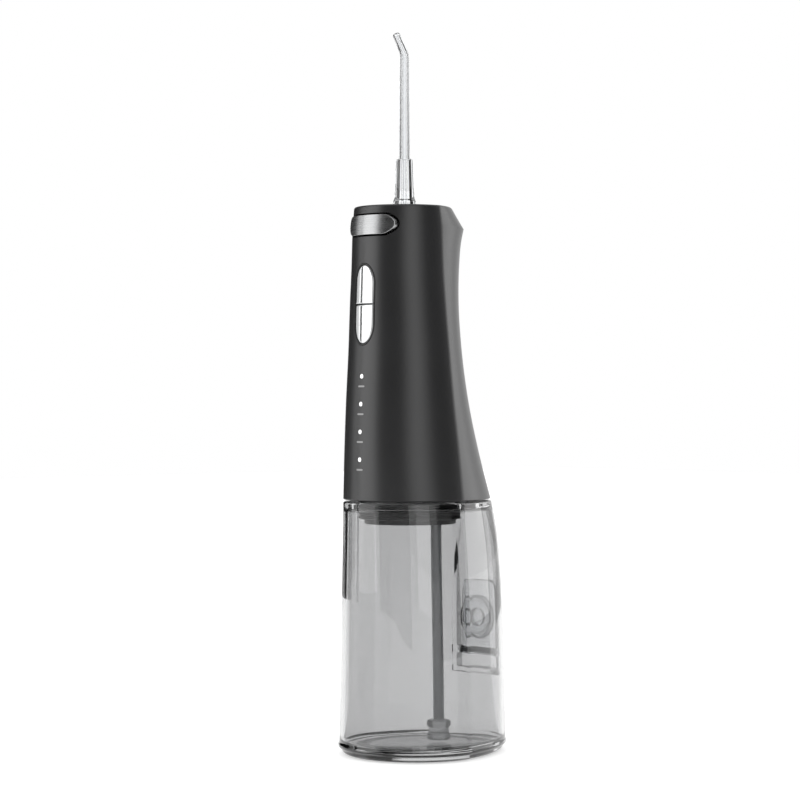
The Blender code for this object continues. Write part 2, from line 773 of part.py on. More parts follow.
BOARD_FRONT = -(
    handle_front(OVAL_CENTRE)
    + BUTTON_PROUD
    - BUTTON_DEPTH
    - BUTTON_TRAVEL
    - GAP
    - PAD_THICKNESS
    - GAP
    - SWITCH_THICKNESS
    - GAP
)


def handle_shell():
    """The grip's skin, open below, with a window for each control and for the nozzle."""
    shell = loft("handle_shell", handle_rings(), DARK_PLASTIC)
    ceiling = HANDLE_TOP - SHELL_TOP_WALL
    heights = [
        h for h in station_heights(HANDLE_OUTLINE, HANDLE_BOTTOM, HANDLE_HEIGHT) if h < ceiling - 0.003
    ]
    rings = [section(handle_sizes(HANDLE_BOTTOM), HANDLE_BOTTOM - 0.002, -SHELL_WALL)]
    rings += [handle_ring(h, -SHELL_WALL) for h in heights]
    rings.append(handle_ring(ceiling, -SHELL_WALL - 0.0006))
    inside = loft("handle_inside", rings, helper=True)
    front = NOZZLE_Y - 0.030
    oval = outline_plate(
        "oval_opening", oval_outline(BEZEL_WIDTH + BUTTON_GAP), front, NOZZLE_Y - 0.012, helper=True
    )
    release = outline_plate(
        "release_opening", release_outline(RELEASE_GAP), front, NOZZLE_Y - 0.010, helper=True
    )
    dial = cylinder(
        "dial_opening",
        behind(0, 0, ceiling - 0.001),
        behind(0, 0, HANDLE_TOP + 0.001),
        DIAL_RADIUS + GAP,
        helper=True,
        sides=ROUND,
    )
    cut(shell, inside, oval, release, dial)
    for number, height in enumerate(light_heights(), 1):
        hole = cylinder(
            f"light_hole_{number}",
            (0, front, height),
            behind(0, BOARD_FRONT, height),
            LIGHT_RADIUS + RUNNING,
            helper=True,
            sides=12,
        )
        cut(shell, hole)
    seat = cover_patch("cover_seat", GAP, 0.003, helper=True)
    port = on_port(
        block(
            "port_opening",
            (-PORT_HALF_WIDTH - GAP, -0.006, -PORT_HALF_HEIGHT - GAP),
            (PORT_HALF_WIDTH + GAP, 0.002, PORT_HALF_HEIGHT + GAP),
            helper=True,
        )
    )
    return cut(shell, seat, port)


def screw_places():
    """Four posts on the base, a pair beside the gear and a pair behind the motor, clear of the outlet tube."""
    aside = TUBE_HOLE[0] + SCREW_HEAD_RADIUS + WATER_TUBE_RADIUS + GAP
    back = handle_sizes(GEARBOX_TOP)[2] - POST_FROM_BACK
    return [(side * x, y) for x, y in ((0.0182, 0.0045), (aside, back)) for side in (-1, 1)]


def handle_base():
    """The handle's floor, with the plug that closes the tank's neck and the posts that carry the gearbox."""
    rings = [handle_ring(height, -SHELL_WALL - GAP) for height in (PLATE_BOTTOM, PLATE_TOP)]
    base = loft("handle_base", rings, BLACK_PLASTIC)
    groove_top = HANDLE_BOTTOM - 0.0010
    groove_bottom = groove_top - SEAL_HEIGHT - 2 * GAP
    ribs = []
    room = groove_bottom - PLUG_BOTTOM
    for number in (1, 2):
        height = groove_bottom - room * number / 3 + RIB_WIDTH / 2
        ribs += [
            (PLUG_RADIUS, height),
            (PLUG_RADIUS - RIB_DEPTH, height - RIB_WIDTH / 3),
            (PLUG_RADIUS - RIB_DEPTH, height - 2 * RIB_WIDTH / 3),
            (PLUG_RADIUS, height - RIB_WIDTH),
        ]
    profile = [
        (0.0, PLATE_BOTTOM + 0.0010),
        (PLUG_RADIUS, PLATE_BOTTOM + 0.0010),
        (PLUG_RADIUS, groove_top),
        (PLUG_RADIUS - SEAL_GROOVE_DEPTH, groove_top),
        (PLUG_RADIUS - SEAL_GROOVE_DEPTH, groove_bottom),
        (PLUG_RADIUS, groove_bottom),
        *ribs,
        (PLUG_RADIUS, PLUG_BOTTOM),
        (PLUG_STEP_RADIUS, PLUG_BOTTOM - 0.0004),
        (PLUG_STEP_RADIUS, BASE_BOTTOM + 0.0004),
        (PLUG_STEP_RADIUS - 0.0004, BASE_BOTTOM),
        (0.0, BASE_BOTTOM),
    ]
    join(base, turned("base_plug", profile, behind(0, PLUG_BEHIND, 0), helper=True))
    post_top = GEARBOX_BOTTOM - GAP
    for number, (x, y) in enumerate(screw_places(), 1):
        foot, top = behind(x, y, PLATE_TOP - 0.001), behind(x, y, post_top)
        join(base, cylinder(f"gearbox_post_{number}", foot, top, POST_RADIUS, helper=True, sides=12))
        low = behind(x, y, post_top - 0.0062)
        cut(
            base,
            cylinder(
                f"post_hole_{number}",
                low,
                behind(x, y, post_top + 0.001),
                SCREW_RADIUS + RUNNING,
                helper=True,
                sides=12,
            ),
        )
    return base


def neck_seal():
    """A soft ring in the plug's groove, against the tank's neck."""
    top = HANDLE_BOTTOM - 0.0010 - GAP
    bottom = top - SEAL_HEIGHT
    outer = NECK_RADIUS - GAP
    inner = PLUG_RADIUS - SEAL_GROOVE_DEPTH + GAP
    bulge = (top + bottom) / 2
    profile = [
        (inner, top),
        (outer - 0.0003, top),
        (outer, bulge),
        (outer - 0.0003, bottom),
        (inner, bottom),
    ]
    return turned("neck_seal", profile, behind(0, PLUG_BEHIND, 0), SOFT_BLACK, ring=True)


handle_shell()
handle_base()
neck_seal()

# ---------------------------------------------------------------- hose in the tank

WEIGHT_BOTTOM = TANK_FLOOR + WEIGHT_ABOVE_FLOOR
WEIGHT_TOP = WEIGHT_BOTTOM + WEIGHT_HEIGHT
HOSE_TOP = BASE_BOTTOM - 2 * GAP


def suction_hose():
    """From under the base nearly straight down to the weight, bowing a little to the back."""
    count = 16
    points, radii = [], []
    for i in range(count):
        t = i / (count - 1)
        bow = 3 * t**2 - 2 * t**3
        y = HOSE_BEHIND + (WEIGHT_BEHIND - HOSE_BEHIND) * bow
        points.append(behind(0, y, HOSE_TOP + (WEIGHT_TOP + GAP - HOSE_TOP) * t))
        radii.append(HOSE_RADIUS)
    return tube("suction_hose", points, radii, CLEAR_RUBBER)


def pickup_weight():
    """The weight that keeps the hose's mouth in the water: a ringed drum with a cross slot below."""
    rim = WEIGHT_RADIUS
    profile = [
        (0.0, WEIGHT_HEIGHT),
        (rim - 0.0010, WEIGHT_HEIGHT),
        (rim, WEIGHT_HEIGHT - 0.0009),
        (rim, WEIGHT_HEIGHT - 0.0026),
        (rim - 0.0006, WEIGHT_HEIGHT - 0.0030),
        (rim - 0.0006, 0.0026),
        (rim, 0.0022),
        (rim, 0.0006),
        (rim - 0.0006, 0.0),
        (0.0, 0.0),
    ]
    place = behind(0, WEIGHT_BEHIND, WEIGHT_BOTTOM)
    weight = turned("pickup_weight", profile, place, CLEAR_RUBBER, sides=24)
    for number, (x, y) in enumerate(((0.006, 0.0008), (0.0008, 0.006)), 1):
        slot = block(
            f"pickup_slot_{number}",
            behind(-x, WEIGHT_BEHIND - y, WEIGHT_BOTTOM - 0.001),
            behind(x, WEIGHT_BEHIND + y, WEIGHT_BOTTOM + 0.0012),
            helper=True,
        )
        cut(weight, slot)
    return weight


suction_hose()
pickup_weight()

# ---------------------------------------------------------------- buttons, lights and circuit board


def follow_front(item, name, proud):
    """Trims a piece of the front so that it follows the handle's surface, standing proud of it."""
    guide = loft(f"{name}_face", handle_rings(proud), helper=True)
    return modify(item, guide, "INTERSECT")


def button_bezel():
    """The black frame round the two buttons."""
    low, high = NOZZLE_Y - 0.030, NOZZLE_Y - handle_front(OVAL_CENTRE) + BUTTON_DEPTH
    frame = outline_plate("button_bezel", oval_outline(BEZEL_WIDTH), low, high, BLACK_PLASTIC)
    opening = outline_plate("bezel_opening", oval_outline(BUTTON_GAP), low - 0.001, high + 0.001, helper=True)
    return follow_front(cut(frame, opening), "button_bezel", 0.0001)


def oval_button(name, half):
    """One half of the button oval, with a stem that reaches the silicone pad."""
    front, back = NOZZLE_Y - 0.030, NOZZLE_Y - handle_front(OVAL_CENTRE) - BUTTON_PROUD + BUTTON_DEPTH
    button = outline_plate(name, oval_outline(half=half), front, back, CHROME)
    return follow_front(button, name, BUTTON_PROUD)


def switch_height(half):
    """The height of a half's switch: half is 1 for the upper and -1 for the lower."""
    return OVAL_CENTRE + half * OVAL_HALF_HEIGHT / 2


PAD_FRONT = BOARD_FRONT - GAP - SWITCH_THICKNESS - GAP - PAD_THICKNESS


def button_pad():
    """The silicone sheet that seals the buttons, between them and the switches."""
    return block(
        "button_pad",
        behind(-OVAL_HALF_WIDTH + 0.0006, PAD_FRONT, OVAL_CENTRE - OVAL_HALF_HEIGHT + 0.001),
        behind(OVAL_HALF_WIDTH - 0.0006, PAD_FRONT + PAD_THICKNESS, OVAL_CENTRE + OVAL_HALF_HEIGHT - 0.001),
        GREY_SILICONE,
        bevel=0.0003,
    )


def board_switch(name, half):
    """A tact switch on the circuit board, behind its button."""
    height, side = switch_height(half), SWITCH_SIDE / 2
    front = BOARD_FRONT - GAP - SWITCH_THICKNESS
    return block(
        name,
        behind(-side, front, height - side),
        behind(side, front + SWITCH_THICKNESS, height + side),
        STEEL,
        bevel=0.0003,
    )


def circuit_board():
    """The upright board that carries the switches and the lights."""
    bottom = light_heights()[-1] - 0.005
    top = OVAL_CENTRE + OVAL_HALF_HEIGHT + 0.0015
    return block(
        "circuit_board",
        behind(-BOARD_HALF_WIDTH, BOARD_FRONT, max(bottom, GEARBOX_TOP + 0.001)),
        behind(BOARD_HALF_WIDTH, BOARD_FRONT + BOARD_THICKNESS, top),
        BOARD_GREEN,
    )


def status_light(number, height):
    """The white pin through the shell that glows when its diode is lit."""
    return cylinder(
        f"status_light_{number}",
        behind(0, -handle_front(height), height),
        behind(0, LIGHT_LENGTH - handle_front(height), height),
        LIGHT_RADIUS,
        LIGHT_WHITE,
        sides=12,
    )


button_bezel()
oval_button("power_button", 1)
oval_button("mode_button", -1)
button_pad()
board_switch("power_switch", 1)
board_switch("mode_switch", -1)
circuit_board()
for light_number, light_height in enumerate(light_heights(), 1):
    status_light(light_number, light_height)

# ---------------------------------------------------------------- nozzle, dial and release

DIAL_BOTTOM = RELEASE_CENTRE + LATCH_THICKNESS / 2 + GAP * 2


def nozzle():
    """The clear jet: a shank in the handle, a flared collar, a slim tube, and a tip that leans forward."""
    top = COLLAR_BOTTOM + NOZZLE_STRAIGHT
    collar_top = COLLAR_BOTTOM + NOZZLE_COLLAR_HEIGHT
    step = 0.0002
    stations = [
        (NOZZLE_BOTTOM, NOZZLE_SHANK_RADIUS),
        (COLLAR_BOTTOM - step, NOZZLE_SHANK_RADIUS),
        (COLLAR_BOTTOM, NOZZLE_COLLAR_RADIUS),
        (COLLAR_BOTTOM + 0.0020, NOZZLE_COLLAR_RADIUS - 0.0001),
        (COLLAR_BOTTOM + 0.0034, NOZZLE_COLLAR_RADIUS - 0.0006),
        (collar_top, NOZZLE_COLLAR_TOP_RADIUS),
        (collar_top + step, NOZZLE_FOOT_RADIUS),
        (top - 0.0012, NOZZLE_NECK_RADIUS),
    ]
    points = [behind(0, 0, z) for z, _ in stations]
    radii = [radius for _, radius in stations]
    lean = Vector((0, -math.sin(NOZZLE_TIP_LEAN), math.cos(NOZZLE_TIP_LEAN)))
    half_lean = Vector((0, -math.sin(NOZZLE_TIP_LEAN / 2), math.cos(NOZZLE_TIP_LEAN / 2)))
    bend = points[-1] + half_lean * 0.0020
    points += [bend, bend + lean * (NOZZLE_TIP_LENGTH * 0.45), bend + lean * (NOZZLE_TIP_LENGTH - 0.0012)]
    radii += [NOZZLE_NECK_RADIUS - 0.0001, NOZZLE_TIP_RADIUS + 0.0002, NOZZLE_TIP_RADIUS]
    body = made_mesh(tube("nozzle", points, radii, CLEAR_PLASTIC, resolution=3))
    start = points[0] - Vector((0, 0, 0.001))
    bore_points = [start, points[7], points[8], points[9], points[10] + lean * 0.001]
    bore = tube("nozzle_bore", bore_points, [NOZZLE_BORE_RADIUS] * 5, None, helper=True, resolution=1)
    return round_shading(cut(body, made_mesh(bore)))


def nozzle_dial():
    """The disc in the handle's top that turns the nozzle, with a sleeve down to the latch."""
    top = HANDLE_TOP - 0.0002
    ledge = HANDLE_TOP - SHELL_TOP_WALL - GAP
    bore = NOZZLE_SHANK_RADIUS + RUNNING
    profile = [
        (bore, top),
        (DIAL_RADIUS - 0.0005, top),
        (DIAL_RADIUS, top - 0.0005),
        (DIAL_RADIUS, ledge),
        (DIAL_FLANGE_RADIUS, ledge),
        (DIAL_FLANGE_RADIUS, ledge - 0.0010),
        (DIAL_SLEEVE_RADIUS, ledge - 0.0010),
        (DIAL_SLEEVE_RADIUS, DIAL_BOTTOM),
        (bore, DIAL_BOTTOM),
    ]
    return turned("nozzle_dial", profile, behind(0, 0, 0), BLACK_PLASTIC, ring=True, sides=32)


def nozzle_seat():
    """The cup that feeds the nozzle, fixed under the latch, with the arm that the latch's spring bears on."""
    floor = NOZZLE_BOTTOM - 0.0012
    bore = NOZZLE_SHANK_RADIUS + 0.0008
    seat = cylinder(
        "nozzle_seat", behind(0, 0, SEAT_BOTTOM), behind(0, 0, SEAT_TOP), SEAT_RADIUS, WHITE_ACETAL, sides=32
    )
    stop = LATCH_BACK + SPRING_LENGTH + 2 * GAP
    arm = block(
        "seat_arm",
        behind(-0.0030, SEAT_RADIUS - 0.0020, SEAT_TOP - 0.0040),
        behind(0.0030, stop + 0.0007, SEAT_TOP - 0.0012),
        helper=True,
    )
    upright = block(
        "spring_stop",
        behind(-0.0030, stop, SEAT_TOP - 0.0036),
        behind(0.0030, stop + 0.0014, RELEASE_CENTRE + 0.0022),
        helper=True,
    )
    well = cylinder(
        "nozzle_well", behind(0, 0, floor), behind(0, 0, SEAT_TOP + 0.001), bore, helper=True, sides=24
    )
    inlet = cylinder(
        "seat_inlet",
        behind(0, 0, SEAT_INLET),
        behind(*SEAT_SIDE * 1.3, SEAT_INLET),
        0.0010,
        helper=True,
        sides=12,
    )
    return cut(join(seat, arm, upright), well, inlet)


def nozzle_seal():
    """The O-ring round the nozzle's shank in the seat."""
    bore = NOZZLE_SHANK_RADIUS + 0.0001
    outer = NOZZLE_SHANK_RADIUS + 0.0007
    middle = (SEAT_TOP + NOZZLE_BOTTOM) / 2
    profile = [
        (bore, middle + 0.0004),
        (outer, middle + 0.0004),
        (outer, middle - 0.0004),
        (bore, middle - 0.0004),
    ]
    return turned("nozzle_seal", profile, behind(0, 0, 0), SOFT_BLACK, ring=True, sides=20)


def release_button():
    """The band across the front, pressed in to let the nozzle go."""
    front = handle_front(RELEASE_CENTRE) + RELEASE_PROUD
    inner = loft(
        "release_back",
        [
            section(handle_sizes(RELEASE_CENTRE), RELEASE_CENTRE - 0.010, RELEASE_PROUD - RELEASE_DEPTH),
            section(handle_sizes(RELEASE_CENTRE), RELEASE_CENTRE + 0.010, RELEASE_PROUD - RELEASE_DEPTH),
        ],
        helper=True,
    )
    button = outline_plate(
        "release_button", release_outline(), NOZZLE_Y - front - 0.004, NOZZLE_Y - 0.004, CHROME
    )
    cut(button, inner)
    return follow_front(button, "release_button", RELEASE_PROUD)


LATCH_FRONT = -(handle_front(RELEASE_CENTRE) + RELEASE_PROUD - RELEASE_DEPTH - GAP)
LATCH_BACK = 0.0072


def nozzle_latch():
    """The flat plate behind the release button that locks the nozzle's shank."""
    bottom, top = RELEASE_CENTRE - LATCH_THICKNESS / 2, RELEASE_CENTRE + LATCH_THICKNESS / 2
    plate = block(
        "nozzle_latch", behind(-0.0065, LATCH_FRONT + 0.0012, bottom), behind(0.0065, LATCH_BACK, top), STEEL
    )
    tongue = block(
        "latch_tongue",
        behind(-0.0020, LATCH_FRONT, bottom),
        behind(0.0020, LATCH_FRONT + 0.002, top),
        helper=True,
    )
    hole = cylinder(
        "latch_hole",
        behind(0, -RELEASE_TRAVEL, bottom - 0.001),
        behind(0, -RELEASE_TRAVEL, top + 0.001),
        NOZZLE_SHANK_RADIUS + RELEASE_TRAVEL + 0.0004,
        helper=True,
        sides=24,
    )
    return cut(join(plate, tongue), hole)


def release_spring():
    """The coil spring that pushes the latch and the button back out."""
    start = LATCH_BACK + GAP
    coil = SPRING_RADIUS - SPRING_WIRE
    per_turn = 10
    points = []
    for i in range(SPRING_TURNS * per_turn + 1):
        turn = 2 * math.pi * i / per_turn
        y = start + SPRING_WIRE + (SPRING_LENGTH - 2 * SPRING_WIRE) * i / (SPRING_TURNS * per_turn)
        points.append(behind(coil * math.cos(turn), y, RELEASE_CENTRE + coil * math.sin(turn)))
    return tube("release_spring", points, [SPRING_WIRE] * len(points), STEEL, resolution=1)


nozzle()
nozzle_dial()
nozzle_seat()
nozzle_seal()
release_button()
nozzle_latch()
release_spring()

# ---------------------------------------------------------------- motor, gears and pump


def gear_outline(teeth, phase):
    """A spur gear's outline: each tooth a trapezium with straight flanks, thinned by the backlash."""
    pitch = GEAR_MODULE * teeth / 2
    tip, root = pitch + 0.9 * GEAR_MODULE, pitch - 1.1 * GEAR_MODULE
    half = math.pi / (2 * teeth) - GEAR_BACKLASH / pitch
    outline = []
    for tooth in range(teeth):
        centre = phase + 2 * math.pi * tooth / teeth
        for radius, angle in ((root, -1.45), (tip, -0.48), (tip, 0.48), (root, 1.45)):
            turn = centre + half * angle
            outline.append((radius * math.cos(turn), radius * math.sin(turn)))
    return outline


def gear(name, teeth, phase, place, bottom, height, material, bore):
    """A spur gear made from its outline, standing on Z, with its bore."""
    curve = bpy.data.curves.new(name, "CURVE")
    curve.dimensions = "2D"
    curve.fill_mode = "BOTH"
    curve.extrude = height / 2
    line = curve.splines.new("POLY")
    outline = gear_outline(teeth, phase)
    line.points.add(len(outline) - 1)
    for point, (x, y) in zip(line.points, outline):
        point.co = (x, y, 0.0, 1.0)
    line.use_cyclic_u = True
    item = bpy.data.objects.new(name, curve)
    item.location = behind(0, place, bottom + height / 2)
    CUTTERS.objects.link(item)
    wheel = made_mesh(keep(item, material))
    centre = wheel.matrix_world.translation
    hole = cylinder(
        f"{name}_bore",
        centre - Vector((0, 0, height)),
        centre + Vector((0, 0, height)),
        bore,
        helper=True,
        sides=16,
    )
    return cut(wheel, hole)


def drive_gear():
    """The large gear, whose underside carries the crank pin that works the pump."""
    wheel = gear(
        "drive_gear",
        DRIVE_TEETH,
        0.0,
        GEAR_BEHIND,
        GEAR_BOTTOM,
        GEAR_THICKNESS,
        WHITE_ACETAL,
        AXLE_RADIUS + RUNNING,
    )
    pin = cylinder(
        "crank_pin",
        behind(0, GEAR_BEHIND + CRANK_RADIUS, CRANK_PIN_BOTTOM),
        behind(0, GEAR_BEHIND + CRANK_RADIUS, GEAR_BOTTOM + 0.001),
        CRANK_PIN_RADIUS,
        helper=True,
        sides=12,
    )
    return join(wheel, pin)


# A tooth gap of the pinion faces the drive gear's tooth, whose teeth start at +X, a quarter turn away.
PINION_PHASE = -math.pi / 2 + math.pi / PINION_TEETH


def motor_pinion():
    """The brass pinion on the motor's shaft."""
    return gear(
        "motor_pinion",
        PINION_TEETH,
        PINION_PHASE,
        MOTOR_BEHIND,
        GEAR_BOTTOM - 0.0002,
        GEAR_THICKNESS,
        BRASS,
        MOTOR_SHAFT_RADIUS + 0.00005,
    )


def motor_shaft():
    """The motor's steel shaft."""
    return cylinder(
        "motor_shaft",
        behind(0, MOTOR_BEHIND, GEAR_BOTTOM - 0.0006),
        behind(0, MOTOR_BEHIND, MOTOR_BOTTOM + 0.0080),
        MOTOR_SHAFT_RADIUS,
        STEEL,
        sides=16,
    )


def motor_can():
    """The motor's plated can, bored for its shaft."""
    profile = [
        (0.0, MOTOR_TOP),
        (0.0030, MOTOR_TOP),
        (0.0030, MOTOR_TOP - 0.0012),
        (MOTOR_RADIUS - 0.0008, MOTOR_TOP - 0.0012),
        (MOTOR_RADIUS, MOTOR_TOP - 0.0020),
        (MOTOR_RADIUS, MOTOR_BOTTOM + 0.0006),
        (MOTOR_RADIUS - 0.0006, MOTOR_BOTTOM),
        (0.0, MOTOR_BOTTOM),
    ]
    can = turned("motor_can", profile, behind(0, MOTOR_BEHIND, 0), STEEL, sides=32)
    well = cylinder(
        "motor_shaft_well",
        behind(0, MOTOR_BEHIND, MOTOR_BOTTOM - 0.001),
        behind(0, MOTOR_BEHIND, MOTOR_BOTTOM + 0.0085),
        MOTOR_SHAFT_RADIUS + RUNNING,
        helper=True,
        sides=16,
    )
    return cut(can, well)


def gearbox_plate():
    """The plate on the four posts that holds the motor above and the gear's axle below."""
    plate = block(
        "gearbox_plate",
        behind(-0.0205, GEAR_BEHIND - 0.0055, GEARBOX_BOTTOM),
        behind(0.0205, 0.0238, GEARBOX_TOP),
        WHITE_ACETAL,
    )
    trim = loft(
        "gearbox_trim",
        [
            handle_ring(GEARBOX_BOTTOM - 0.002, -SHELL_WALL - 0.0008),
            handle_ring(GEARBOX_TOP + 0.002, -SHELL_WALL - 0.0008),
        ],
        helper=True,
    )
    modify(plate, trim, "INTERSECT")
    shaft_hole = cylinder(
        "plate_shaft_hole",
        behind(0, MOTOR_BEHIND, GEARBOX_BOTTOM - 0.001),
        behind(0, MOTOR_BEHIND, GEARBOX_TOP + 0.001),
        MOTOR_SHAFT_RADIUS + 0.0008,
        helper=True,
        sides=16,
    )
    axle_hole = cylinder(
        "plate_axle_hole",
        behind(0, GEAR_BEHIND, GEARBOX_BOTTOM - 0.001),
        behind(0, GEAR_BEHIND, GEARBOX_TOP + 0.001),
        AXLE_RADIUS + 0.00005,
        helper=True,
        sides=16,
    )
    tube_hole = cylinder(
        "plate_tube_hole",
        behind(*TUBE_HOLE, GEARBOX_BOTTOM - 0.001),
        behind(*TUBE_HOLE, GEARBOX_TOP + 0.001),
        WATER_TUBE_RADIUS + GAP,
        helper=True,
        sides=16,
    )
    cut(plate, shaft_hole, axle_hole, tube_hole)
    for number, (x, y) in enumerate(screw_places(), 1):
        hole = cylinder(
            f"plate_screw_hole_{number}",
            behind(x, y, GEARBOX_BOTTOM - 0.001),
            behind(x, y, GEARBOX_TOP + 0.001),
            SCREW_RADIUS + RUNNING,
            helper=True,
            sides=12,
        )
        cut(plate, hole)
    return plate


def gearbox_screw(number, x, y):
    """A pan-head screw through the plate into a post."""
    head = GEARBOX_TOP + 0.0002
    profile = [
        (0.0, head + 0.0013),
        (SCREW_HEAD_RADIUS - 0.0005, head + 0.0013),
        (SCREW_HEAD_RADIUS, head + 0.0006),
        (SCREW_HEAD_RADIUS, head),
        (SCREW_RADIUS, head),
        (SCREW_RADIUS, GEARBOX_BOTTOM - 0.0050),
        (0.0, GEARBOX_BOTTOM - 0.0056),
    ]
    return turned(f"gearbox_screw_{number}", profile, behind(x, y, 0), STEEL, sides=12)


def gear_axle():
    """The fixed pin that the drive gear turns on, held in the gearbox plate."""
    return cylinder(
        "gear_axle",
        behind(0, GEAR_BEHIND, GEAR_BOTTOM + 0.0008),
        behind(0, GEAR_BEHIND, GEARBOX_TOP + 0.0004),
        AXLE_RADIUS,
        STEEL,
        sides=16,
    )


CYLINDER_END = CYLINDER_START + CYLINDER_LENGTH
ROD_START = GEAR_BEHIND + CRANK_RADIUS
PISTON_START = CYLINDER_START + 2 * CRANK_RADIUS + 0.0010
PISTON_LENGTH = 0.0050
HEAD_START = CYLINDER_END + GAP
PASSAGE = HEAD_START + 0.0022


def pump_cylinder():
    """The pump's bore, lying front to back on the handle's floor."""
    barrel = cylinder(
        "pump_cylinder",
        behind(0, CYLINDER_START, PUMP_CENTRE),
        behind(0, CYLINDER_END, PUMP_CENTRE),
        CYLINDER_RADIUS,
        WHITE_ACETAL,
        sides=24,
    )
    bore = cylinder(
        "cylinder_bore",
        behind(0, CYLINDER_START - 0.001, PUMP_CENTRE),
        behind(0, CYLINDER_END + 0.001, PUMP_CENTRE),
        PISTON_RADIUS + 2 * RUNNING,
        helper=True,
        sides=24,
    )
    return cut(barrel, bore)


def pump_piston():
    """The piston with its rod and the eye under the crank pin."""
    start, end = behind(0, PISTON_START, PUMP_CENTRE), behind(0, PISTON_START + PISTON_LENGTH, PUMP_CENTRE)
    piston = cylinder("pump_piston", start, end, PISTON_RADIUS, WHITE_ACETAL, sides=24)
    rod = block(
        "piston_rod",
        behind(-0.0012, ROD_START, PUMP_CENTRE - ROD_HALF_THICKNESS),
        behind(0.0012, PISTON_START + 0.001, PUMP_CENTRE + ROD_HALF_THICKNESS),
        helper=True,
    )
    eye, hole = (
        cylinder(
            name,
            behind(0, ROD_START, PUMP_CENTRE - reach),
            behind(0, ROD_START, PUMP_CENTRE + reach),
            CRANK_PIN_RADIUS + wall,
            helper=True,
            sides=16,
        )
        for name, reach, wall in (("rod_eye", ROD_HALF_THICKNESS, 0.0014), ("rod_eye_hole", 0.003, RUNNING))
    )
    groove = turned(
        "piston_groove",
        [
            (PISTON_RADIUS + 0.001, 0.0007),
            (PISTON_RADIUS + 0.001, -0.0007),
            (PISTON_RADIUS - 0.0007, -0.0007),
            (PISTON_RADIUS - 0.0007, 0.0007),
        ],
        (start + end) / 2,
        helper=True,
        sides=24,
        turn=(-math.pi / 2, 0, 0),
        ring=True,
    )
    return cut(join(piston, rod, eye), hole, groove)


def piston_seal():
    """The ring in the piston's groove, against the bore."""
    bore = PISTON_RADIUS + RUNNING
    groove = PISTON_RADIUS - 0.0005
    profile = [(bore, 0.0005), (bore, -0.0005), (groove, -0.0005), (groove, 0.0005)]
    place = behind(0, PISTON_START + PISTON_LENGTH / 2, PUMP_CENTRE)
    return turned("piston_seal", profile, place, SOFT_BLACK, sides=24, turn=(-math.pi / 2, 0, 0), ring=True)


def pump_head():
    """The block that closes the cylinder, with a pocket for each valve and a passage from it to the side."""
    head = block(
        "pump_head",
        behind(-PUMP_HEAD_HALF_WIDTH, HEAD_START, PUMP_CENTRE - CYLINDER_RADIUS),
        behind(PUMP_HEAD_HALF_WIDTH, HEAD_START + PUMP_HEAD_LENGTH, PUMP_CENTRE + CYLINDER_RADIUS),
        WHITE_ACETAL,
    )
    for side, name in ((-1, "inlet"), (1, "outlet")):
        x = side * VALVE_APART
        pocket = cylinder(
            f"{name}_pocket",
            behind(x, HEAD_START - 0.001, PUMP_CENTRE),
            behind(x, HEAD_START + 0.0022, PUMP_CENTRE),
            VALVE_RADIUS + GAP,
            helper=True,
            sides=16,
        )
        passage = cylinder(
            f"{name}_passage",
            behind(x, PASSAGE, PUMP_CENTRE),
            behind(side * (PUMP_HEAD_HALF_WIDTH + 0.001), PASSAGE, PUMP_CENTRE),
            0.0008,
            helper=True,
            sides=12,
        )
        cut(head, pocket, passage)
        cylinder(
            f"{name}_valve",
            behind(x, HEAD_START + 0.0003, PUMP_CENTRE),
            behind(x, HEAD_START + 0.0012, PUMP_CENTRE),
            VALVE_RADIUS,
            GREY_SILICONE,
            sides=16,
        )
    return head


def water_tubes():
    """The water's way: base to pump head, then from the head past the motor and the battery to the seat."""
    z = PUMP_CENTRE
    side = PUMP_HEAD_HALF_WIDTH + GAP
    inlet = [
        (-0.0095, 0.0170, PLATE_TOP + GAP),
        (-0.0095, 0.0170, z - 0.0025),
        (-0.0095, 0.0178, z - 0.0008),
        (-0.0095, 0.0195, z),
        (-0.0093, 0.0265, z),
        (-0.0085, PASSAGE - 0.0006, z),
        (-0.0072, PASSAGE, z),
        (-side, PASSAGE, z),
    ]
    x, y = TUBE_HOLE
    outlet = [
        (side, PASSAGE, z),
        (0.0072, PASSAGE, z),
        (0.0085, PASSAGE - 0.0006, z + 0.0003),
        (0.0096, PASSAGE - 0.0030, z + 0.0012),
        (x - 0.0004, y + 0.0030, z + 0.0032),
        (x, y + 0.0006, z + 0.0056),
        (x, y, z + 0.0082),
        (x, y, MOTOR_BOTTOM + 0.0030),
        (TUBE_SIDE - 0.0006, MOTOR_BEHIND + 0.0045, MOTOR_BOTTOM + 0.0150),
        (TUBE_SIDE, MOTOR_BEHIND, MOTOR_TOP - 0.0020),
        (TUBE_SIDE, BATTERY_BEHIND, MOTOR_TOP + 0.0060),
        (TUBE_SIDE, BATTERY_BEHIND, SEAT_INLET - 0.0100),
        (TUBE_SIDE - 0.0006, BATTERY_BEHIND - 0.0020, SEAT_INLET - 0.0045),
        (TUBE_SIDE - 0.0022, BATTERY_BEHIND - 0.0042, SEAT_INLET - 0.0010),
        (*SEAT_SIDE * 1.3, SEAT_INLET),
        (*SEAT_SIDE, SEAT_INLET),
    ]
    for name, route in (("inlet_tube", inlet), ("outlet_tube", outlet)):
        tube(name, [behind(*place) for place in route], [WATER_TUBE_RADIUS] * len(route), CLEAR_RUBBER)


pump_cylinder()
pump_piston()
piston_seal()
pump_head()
water_tubes()
motor_can()
motor_shaft()
motor_pinion()
drive_gear()
gearbox_plate()
gear_axle()
for screw_number, (screw_x, screw_y) in enumerate(screw_places(), 1):
    gearbox_screw(screw_number, screw_x, screw_y)

# ---------------------------------------------------------------- battery, chassis and charging port


